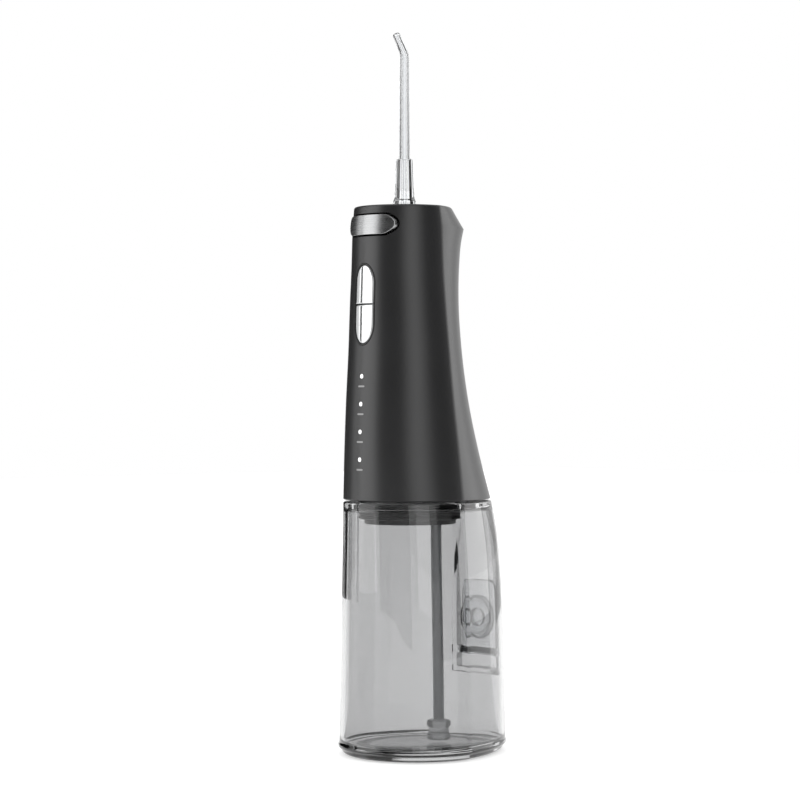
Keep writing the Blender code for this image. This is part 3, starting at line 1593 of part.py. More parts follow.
def battery_cell():
    """The cell in its shrink wrap, upright above the motor."""
    profile = [
        (0.0, BATTERY_TOP),
        (0.0030, BATTERY_TOP),
        (0.0030, BATTERY_TOP - 0.0010),
        (BATTERY_RADIUS - 0.0006, BATTERY_TOP - 0.0010),
        (BATTERY_RADIUS, BATTERY_TOP - 0.0016),
        (BATTERY_RADIUS, BATTERY_BOTTOM + 0.0006),
        (BATTERY_RADIUS - 0.0006, BATTERY_BOTTOM),
        (0.0, BATTERY_BOTTOM),
    ]
    return turned("battery_cell", profile, behind(0, BATTERY_BEHIND, 0), BATTERY_WRAP, sides=32)


def chassis():
    """The upright plate behind the circuit board, with two arms beside the battery."""
    top = OVAL_CENTRE + OVAL_HALF_HEIGHT + 0.0024
    plate = block(
        "chassis",
        behind(-CHASSIS_HALF_WIDTH, CHASSIS_BACK - CHASSIS_THICKNESS, CHASSIS_BOTTOM),
        behind(CHASSIS_HALF_WIDTH, CHASSIS_BACK, top),
        BLACK_PLASTIC,
    )
    inner = BATTERY_RADIUS + 0.0009
    for side, name in ((-1, "left"), (1, "right")):
        xs = sorted((side * inner, side * (inner + CHASSIS_ARM)))
        arm = block(
            f"chassis_arm_{name}",
            behind(xs[0], CHASSIS_BACK - 0.0005, BATTERY_BOTTOM + 0.0060),
            behind(xs[1], BATTERY_BEHIND - 0.0040, top - 0.0020),
            helper=True,
        )
        join(plate, arm)
    return plate


def charge_socket():
    """The charging socket in line with the opening in the shell."""
    outer = -SHELL_WALL - GAP
    socket = on_port(
        block(
            "charge_socket",
            (-PORT_HALF_WIDTH, outer - PORT_DEPTH, -PORT_HALF_HEIGHT),
            (PORT_HALF_WIDTH, outer, PORT_HALF_HEIGHT),
            STEEL,
        )
    )
    well = on_port(
        block(
            "charge_socket_well",
            (-PORT_HALF_WIDTH + 0.0005, outer - PORT_DEPTH + 0.0010, -PORT_HALF_HEIGHT + 0.0005),
            (PORT_HALF_WIDTH - 0.0005, outer + 0.0010, PORT_HALF_HEIGHT - 0.0005),
            helper=True,
        )
    )
    tongue = on_port(
        block(
            "charge_socket_tongue",
            (-PORT_HALF_WIDTH + 0.0015, outer - PORT_DEPTH + 0.0005, -0.0004),
            (PORT_HALF_WIDTH - 0.0015, outer - 0.0010, 0.0004),
            helper=True,
        )
    )
    return join(cut(socket, well), tongue)


battery_cell()
chassis()
charge_socket()
cover_patch("charge_cover", 0.0, 0.0, GREY_SILICONE)

# ---------------------------------------------------------------- pivots of the moving pieces


def moving(name, place, pieces, parent=None):
    """An empty at the joint that carries the pieces, held by the parent."""
    pivot = bpy.data.objects.new(f"{name}_pivot", None)
    PARTS.objects.link(pivot)
    pivot.location = place
    bpy.context.view_layer.update()
    for piece in pieces:
        item = bpy.data.objects[piece]
        item.parent = pivot
        item.matrix_parent_inverse = pivot.matrix_world.inverted()
    if parent:
        pivot.parent = parent
        pivot.matrix_parent_inverse = parent.matrix_world.inverted()
    return pivot


moving("filler_flap", HINGE, ["filler_flap", "filler_seal"])
HANDLE_PIECES = [
    "handle_shell",
    "handle_base",
    "neck_seal",
    "button_bezel",
    "button_pad",
    "power_switch",
    "mode_switch",
    "circuit_board",
    "chassis",
    "battery_cell",
    "motor_can",
    "gearbox_plate",
    "gear_axle",
    "pump_cylinder",
    "pump_head",
    "inlet_valve",
    "outlet_valve",
    "inlet_tube",
    "outlet_tube",
    "nozzle_seat",
    "nozzle_seal",
    "release_spring",
    "charge_socket",
    *[f"status_light_{i + 1}" for i in range(LIGHT_COUNT)],
    *[f"gearbox_screw_{i + 1}" for i in range(len(screw_places()))],
]
HANDLE = moving("handle", behind(0, 0, HANDLE_BOTTOM), HANDLE_PIECES)
moving("pickup", behind(0, HOSE_BEHIND, HOSE_TOP), ["suction_hose", "pickup_weight"], HANDLE)
moving("power_button", behind(0, -handle_front(switch_height(1)), switch_height(1)), ["power_button"], HANDLE)
moving("mode_button", behind(0, -handle_front(switch_height(-1)), switch_height(-1)), ["mode_button"], HANDLE)
moving(
    "release_button",
    behind(0, -handle_front(RELEASE_CENTRE), RELEASE_CENTRE),
    ["release_button", "nozzle_latch"],
    HANDLE,
)
DIAL = moving("nozzle_dial", behind(0, 0, HANDLE_TOP), ["nozzle_dial"], HANDLE)
moving("nozzle", behind(0, 0, COLLAR_BOTTOM), ["nozzle"], DIAL)
moving("motor_rotor", behind(0, MOTOR_BEHIND, GEAR_BOTTOM), ["motor_shaft", "motor_pinion"], HANDLE)
moving("drive_gear", behind(0, GEAR_BEHIND, GEAR_BOTTOM), ["drive_gear"], HANDLE)
moving("pump_piston", behind(0, PISTON_START, PUMP_CENTRE), ["pump_piston", "piston_seal"], HANDLE)
COVER_HINGE = PORT_TURN @ Vector((0.0, RUNNING, -COVER_HALF_HEIGHT))
moving("charge_cover", COVER_HINGE, ["charge_cover"], HANDLE)
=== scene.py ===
import math

import bpy
import numpy as np
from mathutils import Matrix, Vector


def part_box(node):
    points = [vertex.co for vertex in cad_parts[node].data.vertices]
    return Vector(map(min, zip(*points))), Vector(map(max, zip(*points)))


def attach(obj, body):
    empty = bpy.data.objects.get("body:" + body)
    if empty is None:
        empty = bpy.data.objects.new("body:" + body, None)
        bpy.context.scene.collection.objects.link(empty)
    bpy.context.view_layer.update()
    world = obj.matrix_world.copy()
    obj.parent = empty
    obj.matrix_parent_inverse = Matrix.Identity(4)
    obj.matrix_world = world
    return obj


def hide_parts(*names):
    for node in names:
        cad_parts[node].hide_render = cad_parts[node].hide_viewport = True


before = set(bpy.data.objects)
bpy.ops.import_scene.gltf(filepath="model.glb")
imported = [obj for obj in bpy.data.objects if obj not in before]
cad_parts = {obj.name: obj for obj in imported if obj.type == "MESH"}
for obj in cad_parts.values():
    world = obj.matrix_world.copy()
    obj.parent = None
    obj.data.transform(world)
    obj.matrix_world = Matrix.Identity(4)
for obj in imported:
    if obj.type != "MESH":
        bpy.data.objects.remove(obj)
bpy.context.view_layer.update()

# ---------------- table, backdrop, lights and camera
# The flosser stands on a white table in a white studio, between soft boxes on its left, in front and on its
# right. Black cards put dark bands into the satin grip and dark edges into the clear parts, and the camera
# sees none.

DIAL_LOW, DIAL_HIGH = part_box("nozzle_dial")
NOZZLE_Y = (DIAL_LOW[1] + DIAL_HIGH[1]) / 2
AXIS = Vector((0.0, NOZZLE_Y, 0.0))
CAMERA_AZIMUTH = math.radians(48)
CAMERA_DISTANCE = 0.985
CAMERA_HEIGHT = 0.1422
CAMERA_ASIDE = 0.0018
LENS_PER_METRE = 112.05  # mm of lens for each metre of distance, which keeps the object's size in the view
SENSOR_WIDTH = 36
LAMP_AIM = Vector((0.0, 0.0, 0.13))
SHARP_ANGLE = math.radians(32)

camera = bpy.data.objects.new("camera", bpy.data.cameras.new("camera"))
bpy.context.scene.collection.objects.link(camera)
bpy.context.scene.camera = camera
towards_camera = Vector((math.sin(CAMERA_AZIMUTH), -math.cos(CAMERA_AZIMUTH), 0.0))
screen_right = Vector((math.cos(CAMERA_AZIMUTH), math.sin(CAMERA_AZIMUTH), 0.0))
camera.location = AXIS + towards_camera * CAMERA_DISTANCE - screen_right * CAMERA_ASIDE
camera.location.z = CAMERA_HEIGHT
camera.rotation_euler = (-towards_camera).to_track_quat("-Z", "Y").to_euler()
camera.data.lens = LENS_PER_METRE * CAMERA_DISTANCE
camera.data.sensor_width = SENSOR_WIDTH
camera.data.clip_start = 0.01

world = bpy.data.worlds.new("white_studio")
world.use_nodes = True
world.node_tree.nodes["Background"].inputs["Color"].default_value = (1.0, 1.0, 1.0, 1.0)
world.node_tree.nodes["Background"].inputs["Strength"].default_value = 1.0
bpy.context.scene.world = world
bpy.context.scene.view_settings.view_transform = "Standard"


def from_camera_side(turn, distance, height):
    """The place at a distance from the axis, turned in degrees from the camera's side towards the screen's
    right: the axis plus the distance times (cos turn, sin turn) on those two directions."""
    angle = math.radians(turn)
    away = towards_camera * math.cos(angle) + screen_right * math.sin(angle)
    place = AXIS + away * distance
    place.z = height
    return place


def soft_box(name, turn, distance, height, size, power):
    """A rectangular lamp of so many watts at a turn, distance and height, turned to face the aim on the
    axis."""
    lamp = bpy.data.lights.new(name, "AREA")
    lamp.shape = "RECTANGLE"
    lamp.size, lamp.size_y = size
    lamp.energy = power
    item = bpy.data.objects.new(name, lamp)
    bpy.context.scene.collection.objects.link(item)
    item.location = from_camera_side(turn, distance, height)
    aim = AXIS + LAMP_AIM - item.location
    item.rotation_euler = aim.to_track_quat("-Z", "Y").to_euler()
    return item


soft_box("left_box", -84, 0.9, 0.25, (0.80, 1.1), 3.9)
soft_box("front_box", 17, 1.1, 0.30, (0.42, 0.9), 1.1)
soft_box("right_box", 112, 0.9, 0.25, (0.45, 1.1), 2.6)


CARD_POINTS = 48
CARD_BLACK = (0.01, 0.01, 0.01, 1.0)
CARD_ROUGHNESS = 0.95


def black_card(name, turns, distances, heights, through_clear=False, centre=AXIS):
    """A black card round a centre, from a first turn, distance and height to a second, hidden from the
    camera.

    Each point is the centre plus the distance along its turn. A card standing up has one distance and two
    heights, and one lying on the table has two distances and one height. It is seen in reflections, or else
    only through clear parts."""
    around = np.radians(np.linspace(*turns, CARD_POINTS))
    share = np.linspace(0.0, 1.0, 2)
    along, across = np.meshgrid(around, share)
    distance = distances[0] + (distances[1] - distances[0]) * across
    x = centre.x + distance * (np.cos(along) * towards_camera.x + np.sin(along) * screen_right.x)
    y = centre.y + distance * (np.cos(along) * towards_camera.y + np.sin(along) * screen_right.y)
    up = heights[0] + (heights[1] - heights[0]) * across
    points = np.stack([x, y, up], axis=-1).reshape(-1, 3)
    corner = np.arange(CARD_POINTS - 1)
    faces = np.stack([corner, corner + 1, corner + CARD_POINTS + 1, corner + CARD_POINTS], axis=1)
    mesh = bpy.data.meshes.new(name)
    mesh.from_pydata(points.tolist(), [], faces.tolist())
    card = bpy.data.objects.new(name, mesh)
    bpy.context.scene.collection.objects.link(card)
    cloth = bpy.data.materials.new(name)
    cloth.use_nodes = True
    shader = cloth.node_tree.nodes["Principled BSDF"]
    shader.inputs["Base Color"].default_value = CARD_BLACK
    shader.inputs["Roughness"].default_value = CARD_ROUGHNESS
    mesh.materials.append(cloth)
    card.visible_camera = False
    card.visible_diffuse = False
    card.visible_shadow = False
    card.visible_glossy = not through_clear
    card.visible_transmission = through_clear


FAR = (0.8, 0.8)
STANDING = (0.002, 1.0)
REFLECTED = {"left": (-168, -118), "middle": (-54, -4), "right": (38, 84), "narrow": (-104, -98)}
for name, turns in REFLECTED.items():
    black_card(f"{name}_card", turns, FAR, STANDING)
for number, turns in enumerate(((-160, -142), (-134, -121), (117, 128), (136, 160)), 1):
    black_card(f"far_edge_card_{number}", turns, FAR, STANDING, through_clear=True)
NEAR = (0.13, 0.13)
TANK_HIGH = (0.0, 0.13)
for name, turns in (("left", (-121, -62)), ("right", (62, 117))):
    black_card(f"{name}_edge_card", turns, NEAR, TANK_HIGH, through_clear=True)
ON_TABLE = (0.0008, 0.0008)
for name, turns in (("left", (-125, -70)), ("right", (70, 125))):
    black_card(f"{name}_table_card", turns, (0.06, 0.35), ON_TABLE, through_clear=True)
# The two foot cards are black rings laid just under the tank's foot and seen only through its clear floor:
# painted shade, standing in for the dark under the foot.
ORIGIN = Vector((0.0, 0.0, 0.0))
SHADE_CARD_LEVEL = (-0.0001, -0.0001)
for name, ring in (("ring", (0.0235, 0.0290)), ("edge", (0.0325, 0.0400))):
    black_card(f"foot_{name}_card", (-180, 180), ring, SHADE_CARD_LEVEL, through_clear=True, centre=ORIGIN)

TABLE_LEVEL = -0.0003
TABLE_REACH = 3
TABLE_CORNERS = ((-1, -1), (1, -1), (1, 1), (-1, 1))
table_points = [(x * TABLE_REACH, y * TABLE_REACH, TABLE_LEVEL) for x, y in TABLE_CORNERS]
table_mesh = bpy.data.meshes.new("table")
table_mesh.from_pydata(table_points, [], [(0, 1, 2, 3)])
table = bpy.data.objects.new("table", table_mesh)
bpy.context.scene.collection.objects.link(table)
table_top = bpy.data.materials.new("table_top")
table_top.use_nodes = True
table_shader = table_top.node_tree.nodes["Principled BSDF"]
table_shader.inputs["Base Color"].default_value = (0.80, 0.80, 0.80, 1.0)
table_shader.inputs["Roughness"].default_value = 0.6
table_shader.inputs["Specular IOR Level"].default_value = 0.1
table_shader.inputs["Emission Color"].default_value = (1.0, 1.0, 1.0, 1.0)
table_shader.inputs["Emission Strength"].default_value = 0.45
table_mesh.materials.append(table_top)

# ---------------- suction hose and its weight
# A soft silicone hose hangs from the pump's inlet into the tank, with a ringed rubber weight on its end
# that keeps its mouth in the water. The hose is an extruded tube; the weight is moulded and pushed on.

HOSE_RADIUS = 0.0022
HOSE_BORE = 0.0013
WEIGHT_LOW, WEIGHT_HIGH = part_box("pickup_weight")
HOSE_LOW, HOSE_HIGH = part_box("suction_hose")
HOSE_TOP_Y = HOSE_LOW[1] + HOSE_RADIUS
HOSE_FOOT_Y = HOSE_HIGH[1] - HOSE_RADIUS


class Wire:
    """The output of a node in a material. A sum or product of it adds a Math node, and node() adds any
    other."""

    def __init__(self, tree, socket):
        """Keeps the node tree and the output socket."""
        self.tree = tree
        self.socket = socket

    def node(self, kind, inputs, output=0, **settings):
        """A new node's output: its settings set by name, and each input linked to a wire or given a value."""
        made = self.tree.nodes.new(kind)
        for name, value in settings.items():
            setattr(made, name, value)
        for name, value in inputs.items():
            if isinstance(value, Wire):
                self.tree.links.new(value.socket, made.inputs[name])
            else:
                made.inputs[name].default_value = value
        return Wire(self.tree, made.outputs[output])

    def __add__(self, other):
        """This wire plus another, or a number."""
        return self.node("ShaderNodeMath", {0: self, 1: other}, operation="ADD")

    def __mul__(self, other):
        """This wire times another, or a number."""
        return self.node("ShaderNodeMath", {0: self, 1: other}, operation="MULTIPLY")

    def noise(self, scale, detail=2.0, stretch=(1.0, 1.0, 1.0)):
        """Grey noise on this wire's coordinates, with so many cells a metre, stretched along the axes."""
        place = self.node("ShaderNodeMapping", {"Vector": self, "Scale": stretch})
        return self.node("ShaderNodeTexNoise", {"Vector": place, "Scale": scale, "Detail": detail})

    def between(self, low, high):
        """A colour between two: low times (1 - this wire) plus high times this wire."""
        return self.node(
            "ShaderNodeMix", {0: self, 6: (*low, 1.0), 7: (*high, 1.0)}, output=2, data_type="RGBA"
        )

    def bump(self, depth, strength=1.0):
        """A surface normal raised where this wire is high, by depth in metres."""
        return self.node("ShaderNodeBump", {"Height": self, "Distance": depth, "Strength": strength})


class Finish:
    """A material with a Principled shader: fixed sockets by name, then wires into those that vary."""

    def __init__(self, name, **fixed):
        """The new material, its object coordinates as a wire, and its fixed sockets."""
        self.material = bpy.data.materials.new(name)
        self.material.use_nodes = True
        tree = self.material.node_tree
        self.shader = tree.nodes["Principled BSDF"]
        coordinates = tree.nodes.new("ShaderNodeTexCoord")
        self.place = Wire(tree, coordinates.outputs["Object"])
        for socket, value in fixed.items():
            self.shader.inputs[socket.replace("_", " ")].default_value = value

    def feed(self, **wires):
        """Links each wire to the socket of its name."""
        for socket, wire in wires.items():
            self.material.node_tree.links.new(wire.socket, self.shader.inputs[socket.replace("_", " ")])


def grained(name, scale, detail, dark, light, rough=None, depth=None, **fixed):
    """A finish with one noise of so many cells a metre: its colour runs from dark to light, its roughness
    is the noise times rough[0] plus rough[1], and its surface rises with the noise by depth in metres."""
    finish = Finish(name, **fixed)
    grain = finish.place.noise(scale, detail)
    finish.feed(Base_Color=grain.between(dark, light))
    if rough:
        finish.feed(Roughness=grain * rough[0] + rough[1])
    if depth:
        finish.feed(Normal=grain.bump(depth))
    return finish


def full_turn(steps):
    """Angles at so many equal steps round a circle."""
    return np.linspace(0, 2 * np.pi, steps, endpoint=False)


def piece_from_grid(name, grid, body=None, finish=None, stands_for=(), loop=False):
    """A closed skin on a grid of rows and columns: columns join round, and rows join too if loop.

    Each face takes the four points of neighbouring rows and columns. An open end is closed by a fan to its
    middle."""
    rows, columns = grid.shape[:2]
    index = np.arange(rows * columns).reshape(rows, columns)
    above = np.roll(index, -1, axis=0) if loop else index[1:]
    below = index if loop else index[:-1]
    faces = np.stack([below, np.roll(below, -1, 1), np.roll(above, -1, 1), above], axis=-1).reshape(-1, 4)
    points, faces = grid.reshape(-1, 3), faces.tolist()
    if not loop:
        middles = np.stack([grid[0].mean(axis=0), grid[-1].mean(axis=0)])
        points = np.concatenate([points, middles])
        for ring, middle in ((index[0], rows * columns), (index[-1][::-1], rows * columns + 1)):
            faces += np.stack([np.roll(ring, -1), ring, np.full_like(ring, middle)], axis=1).tolist()
    return new_piece(name, points, faces, body, finish, stands_for)


def new_piece(name, points, faces, body=None, finish=None, stands_for=()):
    """A mesh turned inside out where the sum of its triangles' determinants, six times its volume, is
    negative."""
    mesh = bpy.data.meshes.new(name)
    points = np.asarray(points)
    mesh.from_pydata(points.tolist(), [], faces)
    mesh.update()
    mesh.calc_loop_triangles()
    corners = np.empty(3 * len(mesh.loop_triangles), np.int32)
    mesh.loop_triangles.foreach_get("vertices", corners)
    if np.linalg.det(points[corners.reshape(-1, 3)]).sum() < 0:
        mesh.flip_normals()
    mesh.shade_smooth()
    mesh.set_sharp_from_angle(angle=SHARP_ANGLE)
    item = bpy.data.objects.new(name, mesh)
    bpy.context.scene.collection.objects.link(item)
    if finish:
        mesh.materials.append(finish.material)
    if body:
        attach(item, body)
    if stands_for:
        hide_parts(*stands_for)
    return item


def tube_grid(path, radii, columns=32):
    """Rings round a path in a plane of constant X: each is its point plus the radius times (cos X + sin N),
    where N is the path's normal in that plane."""
    path, radii = np.asarray(path), np.asarray(radii)
    tangent = np.gradient(path, axis=0)
    tangent /= np.linalg.norm(tangent, axis=1)[:, None]
    side = np.array([1.0, 0.0, 0.0])
    normal = np.cross(tangent, side)
    turn = full_turn(columns)[None, :, None]
    spread = np.cos(turn) * side + np.sin(turn) * normal[:, None, :]
    return path[:, None, :] + radii[:, None, None] * spread


def turned_grid(profile, centre, columns=96):
    """A profile of (radius, height) rows turned about the upright line through centre: each point is the
    centre plus the radius times (cos turn, sin turn)."""
    profile = np.asarray(profile)
    turn = full_turn(columns)
    x = centre[0] + profile[:, :1] * np.cos(turn)
    y = centre[1] + profile[:, :1] * np.sin(turn)
    return np.stack([x, y, np.repeat(profile[:, 1:], columns, axis=1)], axis=-1)


HOSE_POINTS = 16
hose_share = np.linspace(0, 1, HOSE_POINTS)
hose_bow = 3 * hose_share**2 - 2 * hose_share**3
hose_line = np.stack(
    [
        np.zeros(HOSE_POINTS),
        HOSE_TOP_Y + (HOSE_FOOT_Y - HOSE_TOP_Y) * hose_bow,
        HOSE_HIGH[2] + (HOSE_LOW[2] - HOSE_HIGH[2]) * hose_share,
    ],
    axis=1,
)
soft_silicone = Finish("soft_silicone", Roughness=0.32, Transmission_Weight=0.55, IOR=1.41)
streaks = soft_silicone.place.noise(900.0, 2.0, (1.0, 1.0, 0.04))
soft_silicone.feed(
    Base_Color=streaks.between((0.40, 0.42, 0.44), (0.60, 0.62, 0.64)), Normal=streaks.bump(0.00006)
)
hose_outer = tube_grid(hose_line, np.full(HOSE_POINTS, HOSE_RADIUS))
hose_inner = tube_grid(hose_line, np.full(HOSE_POINTS, HOSE_BORE))[::-1]
hose_skin = np.concatenate([hose_outer, hose_inner])[::-1]
hose = piece_from_grid("hose", hose_skin, "pickup", soft_silicone, ["suction_hose"], loop=True)

WEIGHT_CENTRE = (0.0, (WEIGHT_LOW[1] + WEIGHT_HIGH[1]) / 2)
WEIGHT_RADIUS = (WEIGHT_HIGH[0] - WEIGHT_LOW[0]) / 2
WEIGHT_FOOT = WEIGHT_LOW[2]
# Radius, and height from the weight's foot.
weight_rows = np.array(
    [
        (0.0004, 0.0010), (0.0030, 0.0008), (0.0036, 0.0), (WEIGHT_RADIUS - 0.0007, 0.0),
        (WEIGHT_RADIUS - 0.0002, 0.0002), (WEIGHT_RADIUS, 0.0006), (WEIGHT_RADIUS, 0.0018),
        (WEIGHT_RADIUS - 0.0002, 0.0022), (WEIGHT_RADIUS - 0.0007, 0.0026),
        (WEIGHT_RADIUS - 0.0007, 0.0050), (WEIGHT_RADIUS - 0.0002, 0.0054), (WEIGHT_RADIUS, 0.0058),
        (WEIGHT_RADIUS, 0.0070), (WEIGHT_RADIUS - 0.0003, 0.0076), (WEIGHT_RADIUS - 0.0009, 0.0080),
        (0.0026, 0.0080), (0.0004, 0.0080),
    ]
)
weight_rows[:, 1] += WEIGHT_FOOT
weight_rubber = grained(
    "weight_rubber", 1500.0, 3.0, (0.60, 0.61, 0.62), (0.70, 0.71, 0.72), None, 0.00004,
    Roughness=0.18, Transmission_Weight=0.8, IOR=1.41,
)
weight = piece_from_grid(
    "hose_weight", turned_grid(weight_rows, WEIGHT_CENTRE, 64), "pickup", weight_rubber, ["pickup_weight"]
)

# ---------------- water tank
# The tank is blown from smoked clear copolyester with thick walls and a heavier floor. Its flat deck has a
# round neck for the handle's plug, and a shallow pocket in the back with the filler hole in it.

TANK_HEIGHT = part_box("water_tank")[1][2]
TANK_WALL = 0.0020
TANK_FLOOR = 0.0034
DECK_BOTTOM = TANK_HEIGHT - 0.0028
# Share of the height, half width, front, back and widest line, all but the first from the nozzle's axis.
TANK_OUTLINE = np.array(
    (
        (0.05, 0.0310, 0.0249, 0.0487, 0.0070), (0.31, 0.0306, 0.0243, 0.0483, 0.0070),
        (0.51, 0.0300, 0.0240, 0.0476, 0.0070), (0.69, 0.0295, 0.0239, 0.0465, 0.0068),
        (0.85, 0.0288, 0.0238, 0.0447, 0.0063), (0.925, 0.0284, 0.0238, 0.0430, 0.0061),
        (0.99, 0.0281, 0.0240, 0.0411, 0.0060),
    )
)
# Height, and how far outside the outline.
TANK_FOOT = np.array(
    (
        (0.0, -0.0032), (0.0003, -0.0023), (0.0007, -0.0016), (0.0013, -0.0011), (0.0019, -0.0009),
        (0.0024, -0.0005), (0.0028, 0.0001), (0.0033, 0.0004), (0.0039, 0.0005), (0.0044, 0.0003),
        (0.0049, 0.0001),
    )
)
COLUMNS = 160
CREASE = 0.4
PLUG_CENTRE_Y = NOZZLE_Y + 0.0030
NECK_RADIUS = 0.0212
POCKET_HALF_WIDTH = 0.0113
POCKET_Y = NOZZLE_Y + 0.0410
POCKET_BOTTOM = 0.0317
POCKET_WALL = 0.0019
FILLER_HEIGHT = 0.0528
FILLER_RADIUS = 0.0080
FLAP_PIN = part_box("flap_hinge_pin")
PIN_Y = (FLAP_PIN[0][1] + FLAP_PIN[1][1]) / 2
PIN_Z = (FLAP_PIN[0][2] + FLAP_PIN[1][2]) / 2
LUG_INSIDE = 0.0098
LUG_OUTSIDE = 0.0115
LUG_HALF_HEIGHT = 0.0016
LUG_PAST_PIN = 0.0013
CUT_REACH = 0.07
CUT_TOP = TANK_HEIGHT + 0.01
RIM_ROUNDING = 0.0010
FLOOR_ROUNDING = 0.0022
ROOF_ROUNDING = 0.0012


def along(outline, share):
    """Sizes at each share of the height: between two stations, the cubic with the stations' own slopes."""
    heights, sizes = outline[:, 0], outline[:, 1:]
    slopes = np.gradient(sizes, heights, axis=0)
    share = np.clip(share, heights[0], heights[-1])
    low = np.clip(np.searchsorted(heights, share, side="right") - 1, 0, len(heights) - 2)
    span = (heights[low + 1] - heights[low])[:, None]
    t = (share - heights[low])[:, None] / span
    return (
        (2 * t**3 - 3 * t**2 + 1) * sizes[low]
        + (t**3 - 2 * t**2 + t) * span * slopes[low]
        + (3 * t**2 - 2 * t**3) * sizes[low + 1]
        + (t**3 - t**2) * span * slopes[low + 1]
    )


def body_rings(sizes, heights, offsets):
    """Rings of the body: in front half an ellipse, and behind the side crease the arc of a longer ellipse
    whose centre lies further forward. Each ring is moved out by its offset."""
    half_width, front, back, middle = (sizes.T[:, :, None])[:4]
    offsets = np.asarray(offsets)[:, None]
    half_width, front, back = half_width + offsets, front + offsets, back + offsets
    half = COLUMNS // 2
    turn = np.linspace(-np.pi / 2, np.pi / 2, half, endpoint=False)[None, :]
    front_x = half_width * np.sin(turn)
    front_y = middle - (front + middle) * np.cos(turn)
    shift = CREASE * (back - middle)
    depth = back - middle + shift
    start = np.arcsin(shift / depth)
    turn = start + (np.pi - 2 * start) * np.linspace(0, 1, half, endpoint=False)[None, :]
    back_x = half_width / np.cos(start) * np.cos(turn)
    back_y = middle - shift + depth * np.sin(turn)
    x = np.concatenate([front_x, back_x], axis=1)
    y = np.concatenate([front_y, back_y], axis=1) + NOZZLE_Y
    z = np.repeat(np.asarray(heights)[:, None], COLUMNS, axis=1)
    return np.stack([x, y, z], axis=-1)


def circle_rings(radii, heights, centre_y):
    """Round rings with as many points as a body ring, starting at the left."""
    half = COLUMNS // 2
    turn = np.concatenate(
        [np.linspace(-np.pi, 0, half, endpoint=False), np.linspace(0, np.pi, half, endpoint=False)]
    )
    radii, heights = np.asarray(radii)[:, None], np.asarray(heights)[:, None]
    x, y = radii * np.cos(turn), centre_y + radii * np.sin(turn)
    return np.stack([x, y, np.repeat(heights, COLUMNS, axis=1)], axis=-1)


def tank_rings(heights, offsets):
    """Body rings of the tank's outline at each height, moved out by their offsets."""
    heights = np.asarray(heights, dtype=float)
    return body_rings(along(TANK_OUTLINE, heights / TANK_HEIGHT), heights, offsets)


def quarter(steps=6):
    """(along, across) from 0 to 1 round a quarter circle."""
    turn = np.linspace(0, np.pi / 2, steps)
    return np.sin(turn), 1 - np.cos(turn)


def carve(item, operation, *others):
    """Cuts or joins the others into the piece for good, and removes them."""
    for other in others:
        modifier = item.modifiers.new(other.name, "BOOLEAN")
        modifier.operation = operation
        modifier.object = other
        modifier.solver = "EXACT"
    graph = bpy.context.evaluated_depsgraph_get()
    mesh = bpy.data.meshes.new_from_object(item.evaluated_get(graph))
    item.modifiers.clear()
    item.data = mesh
    for other in others:
        bpy.data.objects.remove(other, do_unlink=True)
    mesh.shade_smooth()
    mesh.set_sharp_from_angle(angle=SHARP_ANGLE)
    return item


def box_cutter(low, high):
    """A box between two opposite corners."""
    x, y, z = (np.array([low[i], high[i]]) for i in range(3))
    corners = np.stack(np.meshgrid(x, y, z, indexing="ij"), axis=-1).reshape(-1, 3)
    faces = [(0, 1, 3, 2), (4, 6, 7, 5), (0, 4, 5, 1), (2, 3, 7, 6), (0, 2, 6, 4), (1, 5, 7, 3)]
    return new_piece("cutter", corners, faces)


def rod_cutter(start, end, radius, columns=64):
    """A round bar between two points: rings at its ends on two directions square to it."""
    start, end = np.asarray(start, float), np.asarray(end, float)
    run = (end - start) / np.linalg.norm(end - start)
    side = np.cross(run, [0.0, 0.0, 1.0] if abs(run[2]) < 0.9 else [1.0, 0.0, 0.0])
    side /= np.linalg.norm(side)
    up = np.cross(run, side)
    turn = full_turn(columns)[:, None]
    ring = radius * (np.cos(turn) * side + np.sin(turn) * up)
    return piece_from_grid("cutter", np.stack([start + ring, end + ring]))


wall_heights = np.linspace(TANK_FOOT[-1, 0] + 0.0005, TANK_HEIGHT - RIM_ROUNDING - 0.0001, 44)
edge_out, edge_up = quarter()
tank_skin = np.concatenate(
    [
        tank_rings(TANK_FOOT[:, 0], TANK_FOOT[:, 1]),
        tank_rings(wall_heights, np.zeros_like(wall_heights)),
        tank_rings(TANK_HEIGHT - RIM_ROUNDING * (1 - edge_out), -RIM_ROUNDING * edge_up),
    ]
)
smoked = Finish("smoked_clear", Transmission_Weight=1.0, IOR=1.5, Roughness=0.02)
mould_waves = smoked.place.noise(45.0, 1.0, (1.0, 1.0, 0.35))
smoked.feed(
    Base_Color=mould_waves.between((0.565, 0.567, 0.570), (0.600, 0.602, 0.605)),
    Normal=mould_waves.bump(0.0003, 0.5),
)
tank = piece_from_grid("tank", tank_skin, "tank", smoked, ["water_tank"])
floor_in, floor_up = quarter()
roof_up, roof_in = quarter()
inside_heights = np.linspace(TANK_FLOOR + FLOOR_ROUNDING + 0.0008, DECK_BOTTOM - ROOF_ROUNDING - 0.0004, 40)
hollow_skin = np.concatenate(
    [
        tank_rings(TANK_FLOOR + FLOOR_ROUNDING * floor_up, -TANK_WALL - FLOOR_ROUNDING * (1 - floor_in)),
        tank_rings(inside_heights, np.full_like(inside_heights, -TANK_WALL)),
        tank_rings(DECK_BOTTOM - ROOF_ROUNDING * (1 - roof_up), -TANK_WALL - ROOF_ROUNDING * roof_in),
        circle_rings([NECK_RADIUS, NECK_RADIUS], [DECK_BOTTOM, TANK_HEIGHT + 0.003], PLUG_CENTRE_Y),
    ]
)
hollow = piece_from_grid("tank_hollow", hollow_skin)
POCKET_REACH = POCKET_HALF_WIDTH + POCKET_WALL
pocket_low = (-POCKET_REACH, POCKET_Y - POCKET_WALL, POCKET_BOTTOM - POCKET_WALL)
